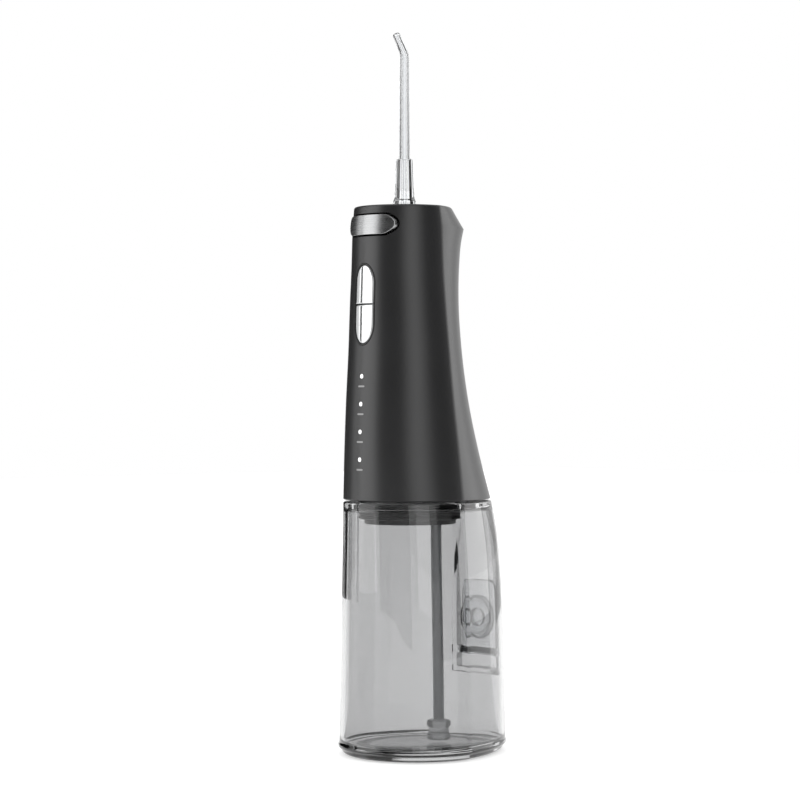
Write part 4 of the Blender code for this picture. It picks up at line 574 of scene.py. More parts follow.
carve(hollow, "DIFFERENCE", box_cutter(pocket_low, (POCKET_REACH, CUT_REACH, CUT_TOP)))
carve(
    tank,
    "DIFFERENCE",
    hollow,
    box_cutter((-POCKET_HALF_WIDTH, POCKET_Y, POCKET_BOTTOM), (POCKET_HALF_WIDTH, CUT_REACH, CUT_TOP)),
    rod_cutter((0, POCKET_Y - 0.006, FILLER_HEIGHT), (0, POCKET_Y + 0.002, FILLER_HEIGHT), FILLER_RADIUS),
)
lugs = [
    box_cutter(
        (left, POCKET_Y - 0.0005, PIN_Z - LUG_HALF_HEIGHT),
        (right, PIN_Y + LUG_PAST_PIN, PIN_Z + LUG_HALF_HEIGHT),
    )
    for left, right in ((-LUG_OUTSIDE, -LUG_INSIDE), (LUG_INSIDE, LUG_OUTSIDE))
]
carve(tank, "UNION", *lugs)

# ---------------- filler flap, its seal and its pin
# A clear flap over the filler hole turns on a steel pin at its lower edge. A soft grey plug pressed onto
# its inside closes the hole. The flap is moulded, with a rounded edge for the fingernail.

FLAP_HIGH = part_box("filler_flap")[1]
FLAP_HALF_WIDTH = FLAP_HIGH[0]
FLAP_INNER_Y = NOZZLE_Y + 0.0426
FLAP_THICKNESS = 0.0016
FLAP_CORNER = 0.0050
KNUCKLE_RADIUS = 0.0016
KNUCKLE_END = 0.0095
PIN_RADIUS = (FLAP_PIN[1][2] - FLAP_PIN[0][2]) / 2
PIN_END = 0.0110
PIN_CHAMFER = 0.0002


def plate_grid(outline, low_y, high_y, rounding):
    """A plate square to Y from an outline in X and Z: its rim rings run from one face round the edge to the
    other, each shrunk towards the outline's middle by its share of the rounding."""
    outline = np.asarray(outline)
    middle = (outline.max(axis=0) + outline.min(axis=0)) / 2
    reach = (outline.max(axis=0) - outline.min(axis=0)) / 2
    turn = np.linspace(0, np.pi / 2, 4)
    inset = np.concatenate([rounding * (1 - np.sin(turn)), rounding * (1 - np.cos(turn))])
    y = np.concatenate([low_y + rounding * (1 - np.cos(turn)), high_y - rounding * (1 - np.sin(turn))])
    inset = np.concatenate([[reach.min() * 0.5], inset, [reach.min() * 0.5]])
    y = np.concatenate([[low_y], y, [high_y]])
    shrunk = middle + (outline - middle)[None] * (1 - inset[:, None, None] / reach)
    depth = np.repeat(y[:, None, None], len(outline), axis=1)
    return np.concatenate([shrunk[..., :1], depth, shrunk[..., 1:]], axis=-1)


def evenly(outline, count):
    """A closed outline as so many points at equal steps along it."""
    outline = np.asarray(outline)
    closed = np.concatenate([outline, outline[:1]])
    run = np.concatenate([[0], np.cumsum(np.linalg.norm(np.diff(closed, axis=0), axis=1))])
    steps = np.linspace(0, run[-1], count, endpoint=False)
    return np.stack([np.interp(steps, run, closed[:, 0]), np.interp(steps, run, closed[:, 1])], axis=1)


flap_turn = np.linspace(0, np.pi / 2, 12)
flap_left = np.stack(
    [
        -FLAP_HALF_WIDTH + FLAP_CORNER * (1 - np.cos(flap_turn)),
        FLAP_HIGH[2] - FLAP_CORNER * (1 - np.sin(flap_turn)),
    ],
    axis=1,
)
flap_outline = np.concatenate(
    [[(-FLAP_HALF_WIDTH, PIN_Z)], flap_left, flap_left[::-1] * (-1, 1), [(FLAP_HALF_WIDTH, PIN_Z)]]
)
clear = Finish("clear_plastic", Transmission_Weight=1.0, IOR=1.5, Base_Color=(0.89, 0.90, 0.91, 1.0))
clear_flow = clear.place.noise(160.0, 2.0)
clear.feed(Roughness=clear_flow * 0.05 + 0.01, Normal=clear_flow.bump(0.00012, 0.4))
flap = piece_from_grid(
    "flap",
    plate_grid(evenly(flap_outline, 96), FLAP_INNER_Y, FLAP_INNER_Y + FLAP_THICKNESS, 0.0005),
    "flap",
    clear,
    ["filler_flap"],
)
for operation, end, radius, columns in (
    ("UNION", KNUCKLE_END, KNUCKLE_RADIUS, 64),
    ("DIFFERENCE", KNUCKLE_END + 0.001, PIN_RADIUS + 0.0001, 32),
):
    carve(flap, operation, rod_cutter((-end, PIN_Y, PIN_Z), (end, PIN_Y, PIN_Z), radius, columns))

pin_steel = Finish("pin_steel", Metallic=1.0, Base_Color=(0.6, 0.61, 0.62, 1.0))
drawn = pin_steel.place.noise(2500.0, 2.0, (0.02, 1.0, 1.0))
pin_steel.feed(Roughness=drawn * 0.2 + 0.15, Normal=drawn.bump(0.00001))
pin_x = np.array([-PIN_END, PIN_CHAMFER - PIN_END, PIN_END - PIN_CHAMFER, PIN_END])
pin_turn = full_turn(24)
pin_radii = np.array([PIN_RADIUS - PIN_CHAMFER, PIN_RADIUS, PIN_RADIUS, PIN_RADIUS - PIN_CHAMFER])[:, None]
pin_grid = np.stack(
    [
        np.repeat(pin_x[:, None], 24, axis=1),
        PIN_Y + pin_radii * np.cos(pin_turn),
        PIN_Z + pin_radii * np.sin(pin_turn),
    ],
    axis=-1,
)
piece_from_grid("hinge_pin", pin_grid, "tank", pin_steel, ["flap_hinge_pin"])

seal_rubber = grained(
    "seal_rubber", 1800.0, 2.0, (0.58, 0.59, 0.60), (0.66, 0.67, 0.68), None, 0.00003,
    Transmission_Weight=0.8, IOR=1.28, Roughness=0.08,
)
SEAL_Y = POCKET_Y + 0.0003
# Radius, and Y from the seal's place in the pocket.
seal_rows = np.array(
    [
        (0.0005, 0.0004), (0.0034, 0.0004), (0.0037, 0.0001), (0.0037, -0.0020), (0.0040, -0.0022),
        (0.0063, -0.0022), (0.0066, -0.0019), (0.0069, -0.0012), (0.0072, -0.0009), (0.0070, -0.0003),
        (0.0073, 0.0), (0.0087, 0.0), (0.0090, 0.0003), (0.0090, 0.0007), (0.0087, 0.0010),
        (0.0040, 0.0010), (0.0005, 0.0010),
    ]
)
seal_rows[:, 1] += SEAL_Y
seal_grid = turned_grid(seal_rows, (0.0, -FILLER_HEIGHT), 64)[..., (0, 2, 1)] * (1, 1, -1)  # turned about Y
piece_from_grid("flap_seal", seal_grid, "flap", seal_rubber, ["filler_seal"])

# ---------------- handle shell
# The grip is one moulding of dark grey ABS with a fine satin spark texture, an open bottom and a round hole
# in its top. The back is slanted off at the top and swells out to meet the tank at the bottom.

HANDLE_BOTTOM, HANDLE_TOP = (corner[2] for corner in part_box("handle_shell"))
HANDLE_HEIGHT = HANDLE_TOP - HANDLE_BOTTOM
SHELL_WALL = 0.0018
CEILING = HANDLE_TOP - 0.0024
TOP_EDGE = 0.0008
BOTTOM_EDGE = 0.0004
DIAL_HOLE = 0.0083
# Share of the height, half width, front, back and widest line, all but the first from the nozzle's axis.
HANDLE_OUTLINE = np.array(
    (
        (0.00, 0.0280, 0.0240, 0.0404, 0.0060), (0.17, 0.0266, 0.0239, 0.0328, 0.0050),
        (0.34, 0.0252, 0.0233, 0.0269, 0.0035), (0.51, 0.0238, 0.0224, 0.0234, 0.0025),
        (0.68, 0.0225, 0.0219, 0.0225, 0.0015), (0.79, 0.0216, 0.0215, 0.0236, 0.0012),
        (0.89, 0.0212, 0.0212, 0.0256, 0.0010), (0.93, 0.0210, 0.0211, 0.0273, 0.0010),
    )
)
HANDLE_TOP_SIZES = np.array((0.0203, 0.0203, 0.0190, 0.0005))
CHAMFER = HANDLE_OUTLINE[-1, 0]


def handle_sizes(heights):
    """The smooth outline up to the slant, and from there a straight line to the top's sizes."""
    share = (np.asarray(heights, dtype=float) - HANDLE_BOTTOM) / HANDLE_HEIGHT
    slant = np.clip((share - CHAMFER) / (1 - CHAMFER), 0, 1)[:, None]
    straight = HANDLE_OUTLINE[-1, 1:] * (1 - slant) + HANDLE_TOP_SIZES * slant
    return np.where((share > CHAMFER)[:, None], straight, along(HANDLE_OUTLINE, share))


def handle_rings(heights, offsets):
    """Body rings of the grip's outline at each height, moved out by their offsets."""
    return body_rings(handle_sizes(heights), heights, offsets)


def offset_from(surface, offset):
    """A surface of X and Z moved out by a fixed offset."""
    return lambda x, z: surface(x, z, offset)


def front_y(x, z, offset=0.0):
    """The front surface's Y at X and Z, moved out by offset: the front ellipse at that height, solved for
    Y."""
    shape = np.shape(z)
    sizes = handle_sizes(np.ravel(z))
    half_width, front, middle = (sizes[:, i].reshape(shape) for i in (0, 1, 3))
    inside = np.clip(1 - (x / (half_width + offset)) ** 2, 0, 1)
    return NOZZLE_Y + middle - (front + middle + offset) * np.sqrt(inside)


knee = HANDLE_BOTTOM + CHAMFER * HANDLE_HEIGHT
lower_wall = np.linspace(HANDLE_BOTTOM + BOTTOM_EDGE, knee - 0.0004, 62)
upper_wall = np.linspace(knee, HANDLE_TOP - TOP_EDGE, 8)
outer_heights = np.concatenate([lower_wall, upper_wall])
inner_heights = np.linspace(CEILING, HANDLE_BOTTOM + BOTTOM_EDGE, 40)[1:-1]
edge_share, edge_drop = quarter()
top_ring = handle_rings([HANDLE_TOP], [-TOP_EDGE])
hole_ring = circle_rings([DIAL_HOLE], [HANDLE_TOP], NOZZLE_Y)
shell_skin = np.concatenate(
    [
        handle_rings([HANDLE_BOTTOM + BOTTOM_EDGE], [-SHELL_WALL]),
        handle_rings([HANDLE_BOTTOM, HANDLE_BOTTOM], [BOTTOM_EDGE - SHELL_WALL, -BOTTOM_EDGE]),
        handle_rings(outer_heights, np.zeros_like(outer_heights)),
        handle_rings(HANDLE_TOP - TOP_EDGE * (1 - edge_share[1:]), -TOP_EDGE * edge_drop[1:]),
        top_ring * 0.9 + hole_ring * 0.1,
        top_ring * 0.1 + hole_ring * 0.9,
        circle_rings([DIAL_HOLE + 0.0003], [HANDLE_TOP], NOZZLE_Y),
        circle_rings([DIAL_HOLE, DIAL_HOLE], [HANDLE_TOP - 0.0003, CEILING], NOZZLE_Y),
        handle_rings([CEILING], [-SHELL_WALL - 0.0006]),
        handle_rings(inner_heights, np.full_like(inner_heights, -SHELL_WALL)),
    ]
)
satin = Finish("satin_dark", Specular_IOR_Level=0.5, IOR=1.5)
spark = satin.place.noise(9000.0, 2.0)
cloud = satin.place.noise(60.0, 2.0)
satin.feed(
    Base_Color=cloud.between((0.012, 0.012, 0.0125), (0.016, 0.016, 0.0165)),
    Roughness=spark * 0.12 + 0.24,
    Normal=spark.bump(0.000012, 0.7),
)
shell = piece_from_grid("grip_shell", shell_skin, "handle", satin, ["handle_shell"], loop=True)

OVAL_HALF_WIDTH = 0.0051
OVAL_LOW, OVAL_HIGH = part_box("button_bezel")
BEZEL_WIDTH = 0.0007
OVAL_HALF_HEIGHT = (OVAL_HIGH[2] - OVAL_LOW[2]) / 2 - BEZEL_WIDTH
OVAL_CENTRE = (OVAL_HIGH[2] + OVAL_LOW[2]) / 2
BUTTON_GAP = 0.0002
RELEASE_LOW, RELEASE_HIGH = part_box("release_button")
RELEASE_CENTRE = (RELEASE_LOW[2] + RELEASE_HIGH[2]) / 2
RELEASE_HALF_HEIGHT = (RELEASE_HIGH[2] - RELEASE_LOW[2]) / 2
RELEASE_HALF_WIDTH = 0.0134
LIGHT_BOXES = [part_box(f"status_light_{i}") for i in range(1, 5)]
LIGHT_HEIGHTS = [(low[2] + high[2]) / 2 for low, high in LIGHT_BOXES]
LIGHT_RADIUS = 0.0009


def oval_outline(grow=0.0, steps=24):
    """Straight sides with half an ellipse at each end, 1.45 times as tall as its half width."""
    half_width, half_height = OVAL_HALF_WIDTH + grow, OVAL_HALF_HEIGHT + grow
    arch = 1.45 * half_width
    turn = np.linspace(0, np.pi, 2 * steps)
    upper = np.stack([half_width * np.cos(turn), half_height - arch + arch * np.sin(turn)], axis=1)
    return np.concatenate([upper, -upper])


def release_outline(grow=0.0, softness=4):
    """Straight above and below, drawn to a blunt point at each end, with its corners eased by averaging."""
    wide, tall = RELEASE_HALF_WIDTH + grow, RELEASE_HALF_HEIGHT + grow
    blunt = 0.0012 + grow / 2
    right = [(0.72, -1), (0.86, -0.72), (1, -blunt / tall), (1, blunt / tall), (0.86, 0.8), (0.72, 1)]
    corners = np.array(right + [(-x, z) for x, z in right[::-1]]) * (wide, tall)
    line = evenly(corners, 200)
    return sum(np.roll(line, shift, axis=0) for shift in range(-softness, softness + 1)) / (2 * softness + 1)


def prism_cutter(outline, low_y, high_y):
    """An outline in X and Z drawn out along Y."""
    outline = np.asarray(outline)
    rows = [np.insert(outline, 1, y, axis=1) for y in (low_y, high_y)]
    return piece_from_grid("cutter", np.stack(rows))


FRONT = NOZZLE_Y - 0.030
openings = [
    prism_cutter(oval_outline(BEZEL_WIDTH + BUTTON_GAP) + (0, OVAL_CENTRE), FRONT, NOZZLE_Y - 0.012),
    prism_cutter(release_outline(0.0007) + (0, RELEASE_CENTRE), FRONT, NOZZLE_Y - 0.010),
    *[rod_cutter((0, FRONT, z), (0, NOZZLE_Y - 0.018, z), LIGHT_RADIUS + 0.0001, 24) for z in LIGHT_HEIGHTS],
]
carve(shell, "DIFFERENCE", *openings)

# ---------------- handle base and neck seal
# The black floor of the grip is glued in. Its ribbed plug drops into the tank's neck, where a soft black
# ring in its groove keeps the water in.

PLUG_RADIUS = 0.02075
PLUG_STEP_RADIUS = PLUG_RADIUS - 0.0024
BASE_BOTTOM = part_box("handle_base")[0][2]
PLATE_BOTTOM = HANDLE_BOTTOM + 0.0003
PLUG_BOTTOM = BASE_BOTTOM + 0.0020
GROOVE_TOP = HANDLE_BOTTOM - 0.0010
GROOVE_BOTTOM = GROOVE_TOP - 0.0020
plug_black = grained(
    "plug_black", 3500.0, 2.0, (0.010, 0.010, 0.011), (0.018, 0.018, 0.019), (0.15, 0.32), 0.00002, IOR=1.5
)
rib_heights = np.linspace(GROOVE_BOTTOM - 0.0004, PLUG_BOTTOM + 0.0006, 41)
rib_share = (rib_heights - rib_heights[-1]) / (rib_heights[0] - rib_heights[-1])
rib_wave = 0.5 - 0.5 * np.cos(rib_share * 4 * np.pi)
plug_rows = np.concatenate(
    [
        [(PLUG_RADIUS - 0.0002, PLATE_BOTTOM), (PLUG_RADIUS, PLATE_BOTTOM - 0.0002)],
        [(PLUG_RADIUS, GROOVE_TOP + 0.0002), (PLUG_RADIUS - 0.0002, GROOVE_TOP)],
        [(PLUG_RADIUS - 0.0014, GROOVE_TOP), (PLUG_RADIUS - 0.0014, GROOVE_BOTTOM)],
        [(PLUG_RADIUS - 0.0002, GROOVE_BOTTOM), (PLUG_RADIUS, GROOVE_BOTTOM - 0.0002)],
        np.stack([PLUG_RADIUS - 0.0006 * rib_wave**2, rib_heights], axis=1),
        [(PLUG_RADIUS - 0.0002, PLUG_BOTTOM + 0.0002), (PLUG_RADIUS - 0.0006, PLUG_BOTTOM)],
        [(PLUG_STEP_RADIUS, PLUG_BOTTOM), (PLUG_STEP_RADIUS, BASE_BOTTOM + 0.0005)],
        [(PLUG_STEP_RADIUS - 0.0002, BASE_BOTTOM + 0.0001), (PLUG_STEP_RADIUS - 0.0005, BASE_BOTTOM)],
        [(0.0060, BASE_BOTTOM)],
    ]
)
base_skin = np.concatenate(
    [
        handle_rings([PLATE_BOTTOM + 0.0025, PLATE_BOTTOM], [-SHELL_WALL - 0.0003] * 2),
        circle_rings(plug_rows[:, 0], plug_rows[:, 1], PLUG_CENTRE_Y),
    ]
)[::-1]
piece_from_grid("base_and_plug", base_skin, "handle", plug_black, ["handle_base"])

SEAL_LOW, SEAL_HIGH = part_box("neck_seal")
seal_outer = (SEAL_HIGH[0] - SEAL_LOW[0]) / 2
seal_middle = (SEAL_HIGH[2] + SEAL_LOW[2]) / 2
seal_half = (SEAL_HIGH[2] - SEAL_LOW[2]) / 2
ring_turn = full_turn(24)
ring_rows = np.stack(
    [seal_outer - 0.0006 + 0.0006 * np.cos(ring_turn), seal_middle + seal_half * np.sin(ring_turn)], axis=1
)
black_rubber = grained(
    "black_rubber", 4000.0, 2.0, 3 * (0.008,), 3 * (0.016,), (0.2, 0.55), 0.00003, Specular_IOR_Level=0.4
)
ring_grid = turned_grid(ring_rows, (0.0, PLUG_CENTRE_Y))
piece_from_grid("neck_ring", ring_grid, "handle", black_rubber, ["neck_seal"], loop=True)

# ---------------- button oval
# Two chromed halves, power above and mode below, press through a black frame in the grip's front. They are
# moulded, plated and slightly crowned, and sit a hair proud of the grip.

CROWN = 0.0002
BUTTON_BACK = NOZZLE_Y - 0.0193


def pad(outline, middle, face, back, edge, rings=14):
    """A cushion between two surfaces of X and Z: rings grow from its middle to the outline on the face,
    sink by the edge round a quarter circle, and cross to the back."""
    outline, middle = np.asarray(outline), np.asarray(middle)
    reach = np.abs(outline - middle).max()
    turn = np.linspace(0, np.pi / 2, 6)[1:]
    lip = 1.5 * edge / reach
    shares = np.concatenate([np.linspace(0.05, 1 - lip, rings), 1 - lip * (1 - np.sin(turn))])
    flat = middle + (outline - middle)[None] * shares[:, None, None]
    outer, inner = face(flat[..., 0], flat[..., 1]), back(flat[..., 0], flat[..., 1])
    sink = np.concatenate([np.zeros(rings), edge * (1 - np.cos(turn))])[:, None]
    outer = outer + np.sign(inner - outer) * sink
    flat = np.concatenate([flat, flat[-1:], flat[:1]])
    return np.stack([flat[..., 0], np.concatenate([outer, inner[-1:], inner[:1]]), flat[..., 1]], axis=-1)


def button_back(x, z):
    """The flat back of the keys: the same Y at every X and Z."""
    return np.full_like(x, BUTTON_BACK)


chrome = Finish("chrome_plate", Metallic=1.0, Base_Color=(0.56, 0.565, 0.57, 1.0))
plating = chrome.place.noise(220.0, 2.0)
chrome.feed(Roughness=plating * 0.06 + 0.07, Normal=plating.bump(0.00003, 0.4))
whole_oval = oval_outline()
upper_half = np.array([point for point in whole_oval if point[1] > 0])
split_ends = np.array([(OVAL_HALF_WIDTH, BUTTON_GAP), (-OVAL_HALF_WIDTH, BUTTON_GAP)])
upper_half = evenly(np.concatenate([split_ends[:1], upper_half, split_ends[1:]]), 160)
for body, side in (("power", 1), ("mode", -1)):
    outline = upper_half * (side, side) + (0, OVAL_CENTRE)
    middle = (0.0, OVAL_CENTRE + side * OVAL_HALF_HEIGHT * 0.46)
    grid = pad(outline, middle, offset_from(front_y, CROWN), button_back, 0.0004)
    piece_from_grid(f"{body}_key", grid, body, chrome, [f"{body}_button"])

bezel_black = grained("bezel_black", 3000.0, 2.0, 3 * (0.006,), 3 * (0.010,), (0.1, 0.3), IOR=1.5)
bezel_outer = evenly(oval_outline(BEZEL_WIDTH), 200) + (0, OVAL_CENTRE)
bezel_inner = evenly(oval_outline(BUTTON_GAP), 200) + (0, OVAL_CENTRE)
bezel_rows = []
for share, proud in ((0.0, -0.0002), (0.15, 0.0001), (0.85, 0.0001), (1.0, -0.0002)):
    flat = bezel_outer * (1 - share) + bezel_inner * share
    bezel_rows.append(np.stack([flat[:, 0], front_y(flat[:, 0], flat[:, 1]) - proud, flat[:, 1]], axis=1))
for flat in (bezel_inner, bezel_outer):
    bezel_rows.append(np.stack([flat[:, 0], np.full(200, BUTTON_BACK), flat[:, 1]], axis=1))
piece_from_grid("button_frame", np.stack(bezel_rows), "handle", bezel_black, ["button_bezel"], loop=True)

# ---------------- release button
# A chromed band across the top of the front, pressed in to free the nozzle. It stands proud of the grip in
# a slot that is a little larger, so that a dark line shows round it.

RELEASE_PROUD = 0.0009
RELEASE_DEPTH = 0.0024
release_grid = pad(
    release_outline() + (0, RELEASE_CENTRE),
    (0.0, RELEASE_CENTRE),
    offset_from(front_y, RELEASE_PROUD),
    offset_from(front_y, RELEASE_PROUD - RELEASE_DEPTH),
    0.0002,
    24,
)
brushed = Finish("brushed_chrome", Metallic=1.0, Base_Color=(0.33, 0.332, 0.335, 1.0))
brush_lines = brushed.place.noise(900.0, 2.0, (0.12, 0.12, 3.0))
brushed.feed(Roughness=brush_lines * 0.16 + 0.2, Normal=brush_lines.bump(0.00004, 0.5))
piece_from_grid("release_band", release_grid, "release", brushed, ["release_button"])

# ---------------- status lights and their marks
# Four white pins of diffusing acrylic show the mode and the charge. Under each, a short plain bar is
# printed in light grey in place of the maker's wording.

light_white = Finish("light_pin", IOR=1.49, Emission_Strength=0.25)
pin_haze = light_white.place.noise(2500.0, 2.0)
light_white.feed(
    Base_Color=pin_haze.between((0.86, 0.86, 0.86), (0.95, 0.95, 0.95)),
    Emission_Color=pin_haze.between((0.9, 0.9, 0.9), (1.0, 1.0, 1.0)),
    Roughness=pin_haze * 0.1 + 0.25,
)
print_grey = grained("printed_grey", 5000.0, 3.0, 3 * (0.20,), 3 * (0.30,), (0.2, 0.4), IOR=1.45)
LIGHT_PROUD = 0.00005
LIGHT_DEPTH = 0.0025
MARK_DEPTH = 0.0001
MARK_DROP = 0.0040
MARK_HALF = np.array([0.0018, 0.00035])
pin_ring = full_turn(32)
pin_circle = np.stack([np.cos(pin_ring), np.sin(pin_ring)], axis=1)
mark_shape = np.sign(pin_circle) * np.abs(pin_circle) ** 0.4 * MARK_HALF
light_face = offset_from(front_y, LIGHT_PROUD)
light_back = offset_from(front_y, -LIGHT_DEPTH)
mark_back = offset_from(front_y, -MARK_DEPTH)
for number, height in enumerate(LIGHT_HEIGHTS, 1):
    grid = pad(LIGHT_RADIUS * pin_circle + (0.0, height), (0.0, height), light_face, light_back, 0.0001, 4)
    piece_from_grid(f"light_pin_{number}", grid, "handle", light_white, [f"status_light_{number}"])
    centre = (0.0, height - MARK_DROP)
    grid = pad(mark_shape + centre, centre, light_face, mark_back, 0.00002, 4)
    piece_from_grid(f"printed_mark_{number}", grid, "handle", print_grey)

# ---------------- nozzle dial and nozzle
# The black dial turns in the grip's top and carries the nozzle round. The nozzle is one clear moulding with
# a flared collar, a slim drawn-out tube and a bent tip, and a narrow water way runs through it.

DIAL_RADIUS = 0.0080
NOZZLE_LOW, NOZZLE_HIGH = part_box("nozzle")
SHANK_RADIUS = 0.0024
DIAL_BOTTOM = DIAL_LOW[2] - DIAL_HIGH[2]
# Radius, and height from the dial's top.
dial_rows = np.array(
    [
        (SHANK_RADIUS + 0.0001, DIAL_BOTTOM), (0.0050, DIAL_BOTTOM), (0.0050, -0.0036), (0.0090, -0.0035),
        (0.0092, -0.0033), (0.0092, -0.0027), (0.0090, -0.0025), (DIAL_RADIUS, -0.0025),
        (DIAL_RADIUS, -0.0004), (DIAL_RADIUS - 0.0002, -0.0001), (DIAL_RADIUS - 0.0005, 0.0), (0.0070, 0.0),
        (0.0068, -0.0003), (0.0064, -0.0003), (0.0062, 0.0), (SHANK_RADIUS + 0.0003, 0.0),
        (SHANK_RADIUS + 0.0001, -0.0002),
    ]
)
dial_rows[:, 1] += DIAL_HIGH[2]
dial_grid = turned_grid(dial_rows, (0.0, NOZZLE_Y), 144)
piece_from_grid("dial", dial_grid, "dial", bezel_black, ["nozzle_dial"], loop=True)

COLLAR_BOTTOM = HANDLE_TOP + 0.0003
BEND_START = 0.0597
LEAN = math.radians(31)
TIP_RADIUS = 0.0014
SHANK_END = NOZZLE_LOW[2] - COLLAR_BOTTOM
# Height from the collar's foot, and radius.
upright = np.array(
    [
        (SHANK_END, SHANK_RADIUS - 0.0003), (SHANK_END + 0.0003, SHANK_RADIUS), (-0.0001, SHANK_RADIUS),
        (0.0, 0.0043), (0.0002, 0.00460), (0.0016, 0.00465), (0.0024, 0.00450), (0.0034, 0.00408),
        (0.0100, 0.00380), (0.0180, 0.00352), (0.0188, 0.00340), (0.0191, 0.00300), (0.0192, 0.00240),
        (0.0200, 0.00224), (0.0400, 0.00208), (BEND_START, 0.00192),
    ]
)
bend_share = np.linspace(0, 1, 9)[1:]
BEND_RADIUS = 0.0060
bend_y = -BEND_RADIUS * (1 - np.cos(LEAN * bend_share))
bend_z = COLLAR_BOTTOM + BEND_START + BEND_RADIUS * np.sin(LEAN * bend_share)
lean_way = np.array([-math.sin(LEAN), math.cos(LEAN)])
tip_end = np.array([bend_y[-1], bend_z[-1]])
tip_reach = (NOZZLE_HIGH[2] - TIP_RADIUS * math.sin(LEAN) - tip_end[1]) / math.cos(LEAN)
tip_share = np.array([0.2, 0.6, 0.9, 0.96, 1.0])
TIP_POINTS = len(tip_share)
tip_yz = tip_end + tip_share[:, None] * tip_reach * lean_way
line_y = np.concatenate([np.zeros(len(upright)), bend_y, tip_yz[:, 0]]) + NOZZLE_Y
line_z = np.concatenate([upright[:, 0] + COLLAR_BOTTOM, bend_z, tip_yz[:, 1]])
outer_radii = np.concatenate(
    [
        upright[:, 1],
        np.linspace(0.00190, 0.00170, 8),
        [0.00164, 0.00150, 0.00143, TIP_RADIUS - 0.0001, TIP_RADIUS - 0.0004],
    ]
)
lean_along = np.concatenate([np.zeros(len(upright)), LEAN * bend_share, np.full(TIP_POINTS, LEAN)])
nozzle_line, across = (
    np.stack([np.zeros(len(first)), first, second], axis=1)
    for first, second in ((line_y, line_z), (np.cos(lean_along), np.sin(lean_along)))
)
nozzle_turn = full_turn(64)[None, :, None]
spread = np.cos(nozzle_turn) * np.array([1.0, 0.0, 0.0]) + np.sin(nozzle_turn) * across[:, None, :]
bore_radii = np.concatenate(
    [np.full(len(upright), 0.0009), np.linspace(0.0009, 0.0006, 8), np.full(TIP_POINTS, 0.0005)]
)
outer_skin, bore_skin = (
    nozzle_line[:, None, :] + radii[:, None, None] * spread for radii in (outer_radii, bore_radii)
)
nozzle_skin = np.concatenate([outer_skin, bore_skin[::-1]])
piece_from_grid("jet_nozzle", nozzle_skin, "jet", clear, ["nozzle"], loop=True)

# ---------------- charging cover and socket
# A soft grey flap on the slanted back covers the charging socket, and peels open from its top edge.

cover_silicone = grained(
    "cover_silicone", 3500.0, 2.0, (0.030, 0.030, 0.031), (0.045, 0.045, 0.046), (0.15, 0.5), 0.00003,
    Specular_IOR_Level=0.4,
)
COVER_LOW, COVER_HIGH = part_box("charge_cover")
COVER_CENTRE = (COVER_LOW[2] + COVER_HIGH[2]) / 2 + 0.0001
COVER_HALF = np.array([COVER_HIGH[0], 0.00475])
COVER_THICKNESS = 0.0010
COVER_CORNER = 0.0012
COVER_GAP = 0.0003
SEAT_ABOVE = 0.003


def back_y(x, z, offset=0.0):
    """The back surface's Y at X and Z, moved out by offset: the longer ellipse at that height, solved for
    Y."""
    shape = np.shape(z)
    sizes = handle_sizes(np.ravel(z))
    half_width, back, middle = (sizes[:, i].reshape(shape) for i in (0, 2, 3))
    half_width, back = half_width + offset, back + offset
    shift = CREASE * (back - middle)
    depth = back - middle + shift
    wide = half_width / np.sqrt(1 - (shift / depth) ** 2)
    return NOZZLE_Y + middle - shift + depth * np.sqrt(np.clip(1 - (x / wide) ** 2, 0, 1))


def rounded_box(half, corner):
    """Four rounded corners: each point of a circle, moved out to the corner of its quarter."""
    return np.sign(cover_circle) * half + corner * cover_circle


def cover_outline(grow):
    """The cover's rounded outline, grown by a gap."""
    return evenly(rounded_box(COVER_HALF + grow - COVER_CORNER, COVER_CORNER), 120) + (0.0, COVER_CENTRE)


cover_turn = full_turn(64) + 0.01  # turned a little, so that no point lies on the line between two corners
cover_circle = np.stack([np.cos(cover_turn), np.sin(cover_turn)], axis=1)
COVER_MIDDLE = (0.0, COVER_CENTRE)
seat_outside, seat_floor = (offset_from(back_y, out) for out in (SEAT_ABOVE, -COVER_THICKNESS - COVER_GAP))
seat = piece_from_grid("cutter", pad(cover_outline(COVER_GAP), COVER_MIDDLE, seat_outside, seat_floor, 0.0))
PORT_STRAIGHT = (0.0033, 0.0004)
PORT_CORNER = 0.0015
PORT_CUT = (-0.002, 0.006)
port_lean = math.atan2(float(back_y(0.0, COVER_CENTRE - 0.004) - back_y(0.0, COVER_CENTRE + 0.004)), 0.008)
port_middle = np.array([0.0, float(back_y(0.0, COVER_CENTRE)), COVER_CENTRE])
inward = np.array([0.0, -math.cos(port_lean), -math.sin(port_lean)])
up_back = np.array([0.0, -math.sin(port_lean), math.cos(port_lean)])
port_ring = rounded_box(PORT_STRAIGHT, PORT_CORNER)
port_rows = [
    port_middle + inward * depth + port_ring[:, :1] * (1.0, 0.0, 0.0) + port_ring[:, 1:] * up_back
    for depth in PORT_CUT
]
carve(shell, "DIFFERENCE", seat, piece_from_grid("cutter", np.stack(port_rows)))
cover_inside = offset_from(back_y, -COVER_THICKNESS)
cover_grid = pad(cover_outline(0.0), COVER_MIDDLE, back_y, cover_inside, 0.00025, 10)
piece_from_grid("port_cover", cover_grid, "cover", cover_silicone, ["charge_cover"])

# ---------------- works inside the grip
# Motor, gears, pump, cell and circuit board stand in the grip as they are in the CAD model, each in the
# material of the real part: plated cans, brass, white acetal, a shrink-wrapped cell and a green lacquered
# board.

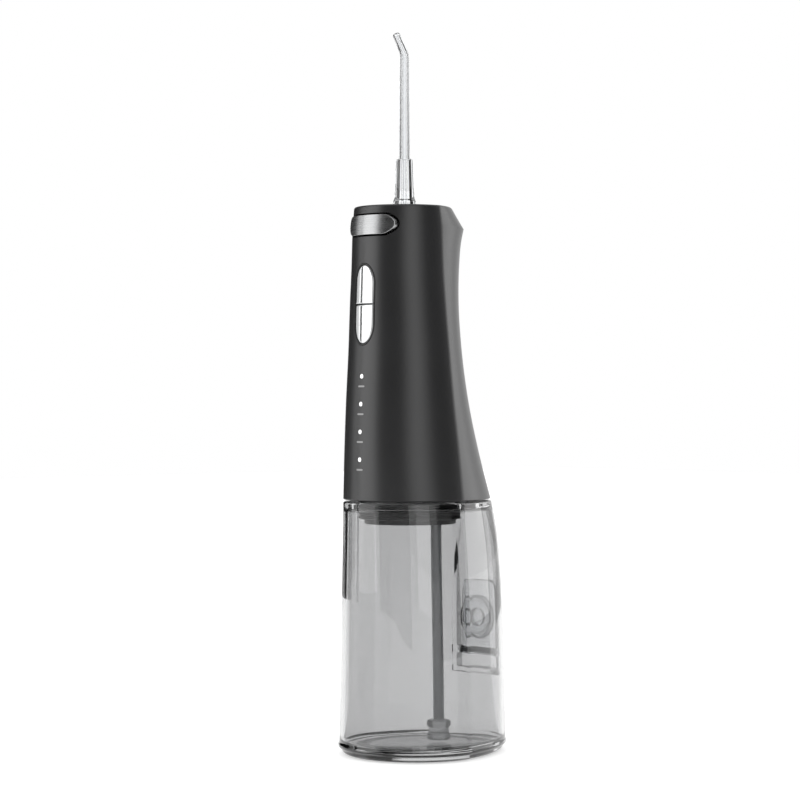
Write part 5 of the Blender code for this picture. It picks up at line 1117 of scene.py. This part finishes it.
plated = Finish("plated_steel", Metallic=1.0, Base_Color=(0.66, 0.67, 0.68, 1.0))
rolled = plated.place.noise(1800.0, 2.0, (1.0, 1.0, 0.1))
plated.feed(Roughness=rolled * 0.2 + 0.2, Normal=rolled.bump(0.00001))
brass = Finish("machined_brass", Metallic=1.0)
turning = brass.place.noise(2600.0, 2.0, (1.0, 1.0, 0.2))
brass.feed(Base_Color=turning.between((0.60, 0.44, 0.20), (0.78, 0.60, 0.32)), Roughness=turning * 0.2 + 0.2)
acetal = grained("white_acetal", 700.0, 2.0, (0.78, 0.78, 0.75), (0.86, 0.86, 0.84), (0.15, 0.3), IOR=1.48)
wrap = Finish("cell_wrap", IOR=1.5)
shrink = wrap.place.noise(300.0, 3.0, (1.0, 1.0, 0.2))
wrap.feed(
    Base_Color=shrink.between((0.03, 0.11, 0.34), (0.05, 0.17, 0.46)),
    Roughness=shrink * 0.2 + 0.25,
    Normal=shrink.bump(0.0001),
)
lacquer = Finish("board_lacquer", IOR=1.5, Roughness=0.35)
tracks = lacquer.place.node(
    "ShaderNodeTexVoronoi", {"Vector": lacquer.place, "Scale": 420.0}, feature="DISTANCE_TO_EDGE"
)
lacquer.feed(
    Base_Color=(tracks * 6.0).between((0.03, 0.22, 0.10), (0.012, 0.10, 0.045)), Normal=tracks.bump(0.00005)
)
pump_silicone = grained(
    "pump_silicone", 3000.0, 2.0, (0.36, 0.37, 0.38), (0.46, 0.47, 0.48), (0.15, 0.45), Specular_IOR_Level=0.4
)
WORKS = {
    plated: (
        "motor_can motor_shaft gear_axle power_switch mode_switch nozzle_latch release_spring charge_socket "
        "gearbox_screw_1 gearbox_screw_2 gearbox_screw_3 gearbox_screw_4"
    ),
    brass: "motor_pinion",
    acetal: "drive_gear gearbox_plate pump_cylinder pump_piston pump_head nozzle_seat",
    wrap: "battery_cell",
    lacquer: "circuit_board",
    pump_silicone: "button_pad inlet_valve outlet_valve",
    black_rubber: "nozzle_seal piston_seal",
    soft_silicone: "inlet_tube outlet_tube",
    plug_black: "chassis",
}
for finish, names in WORKS.items():
    for name in names.split():
        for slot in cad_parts[name].material_slots:
            slot.material = finish.material
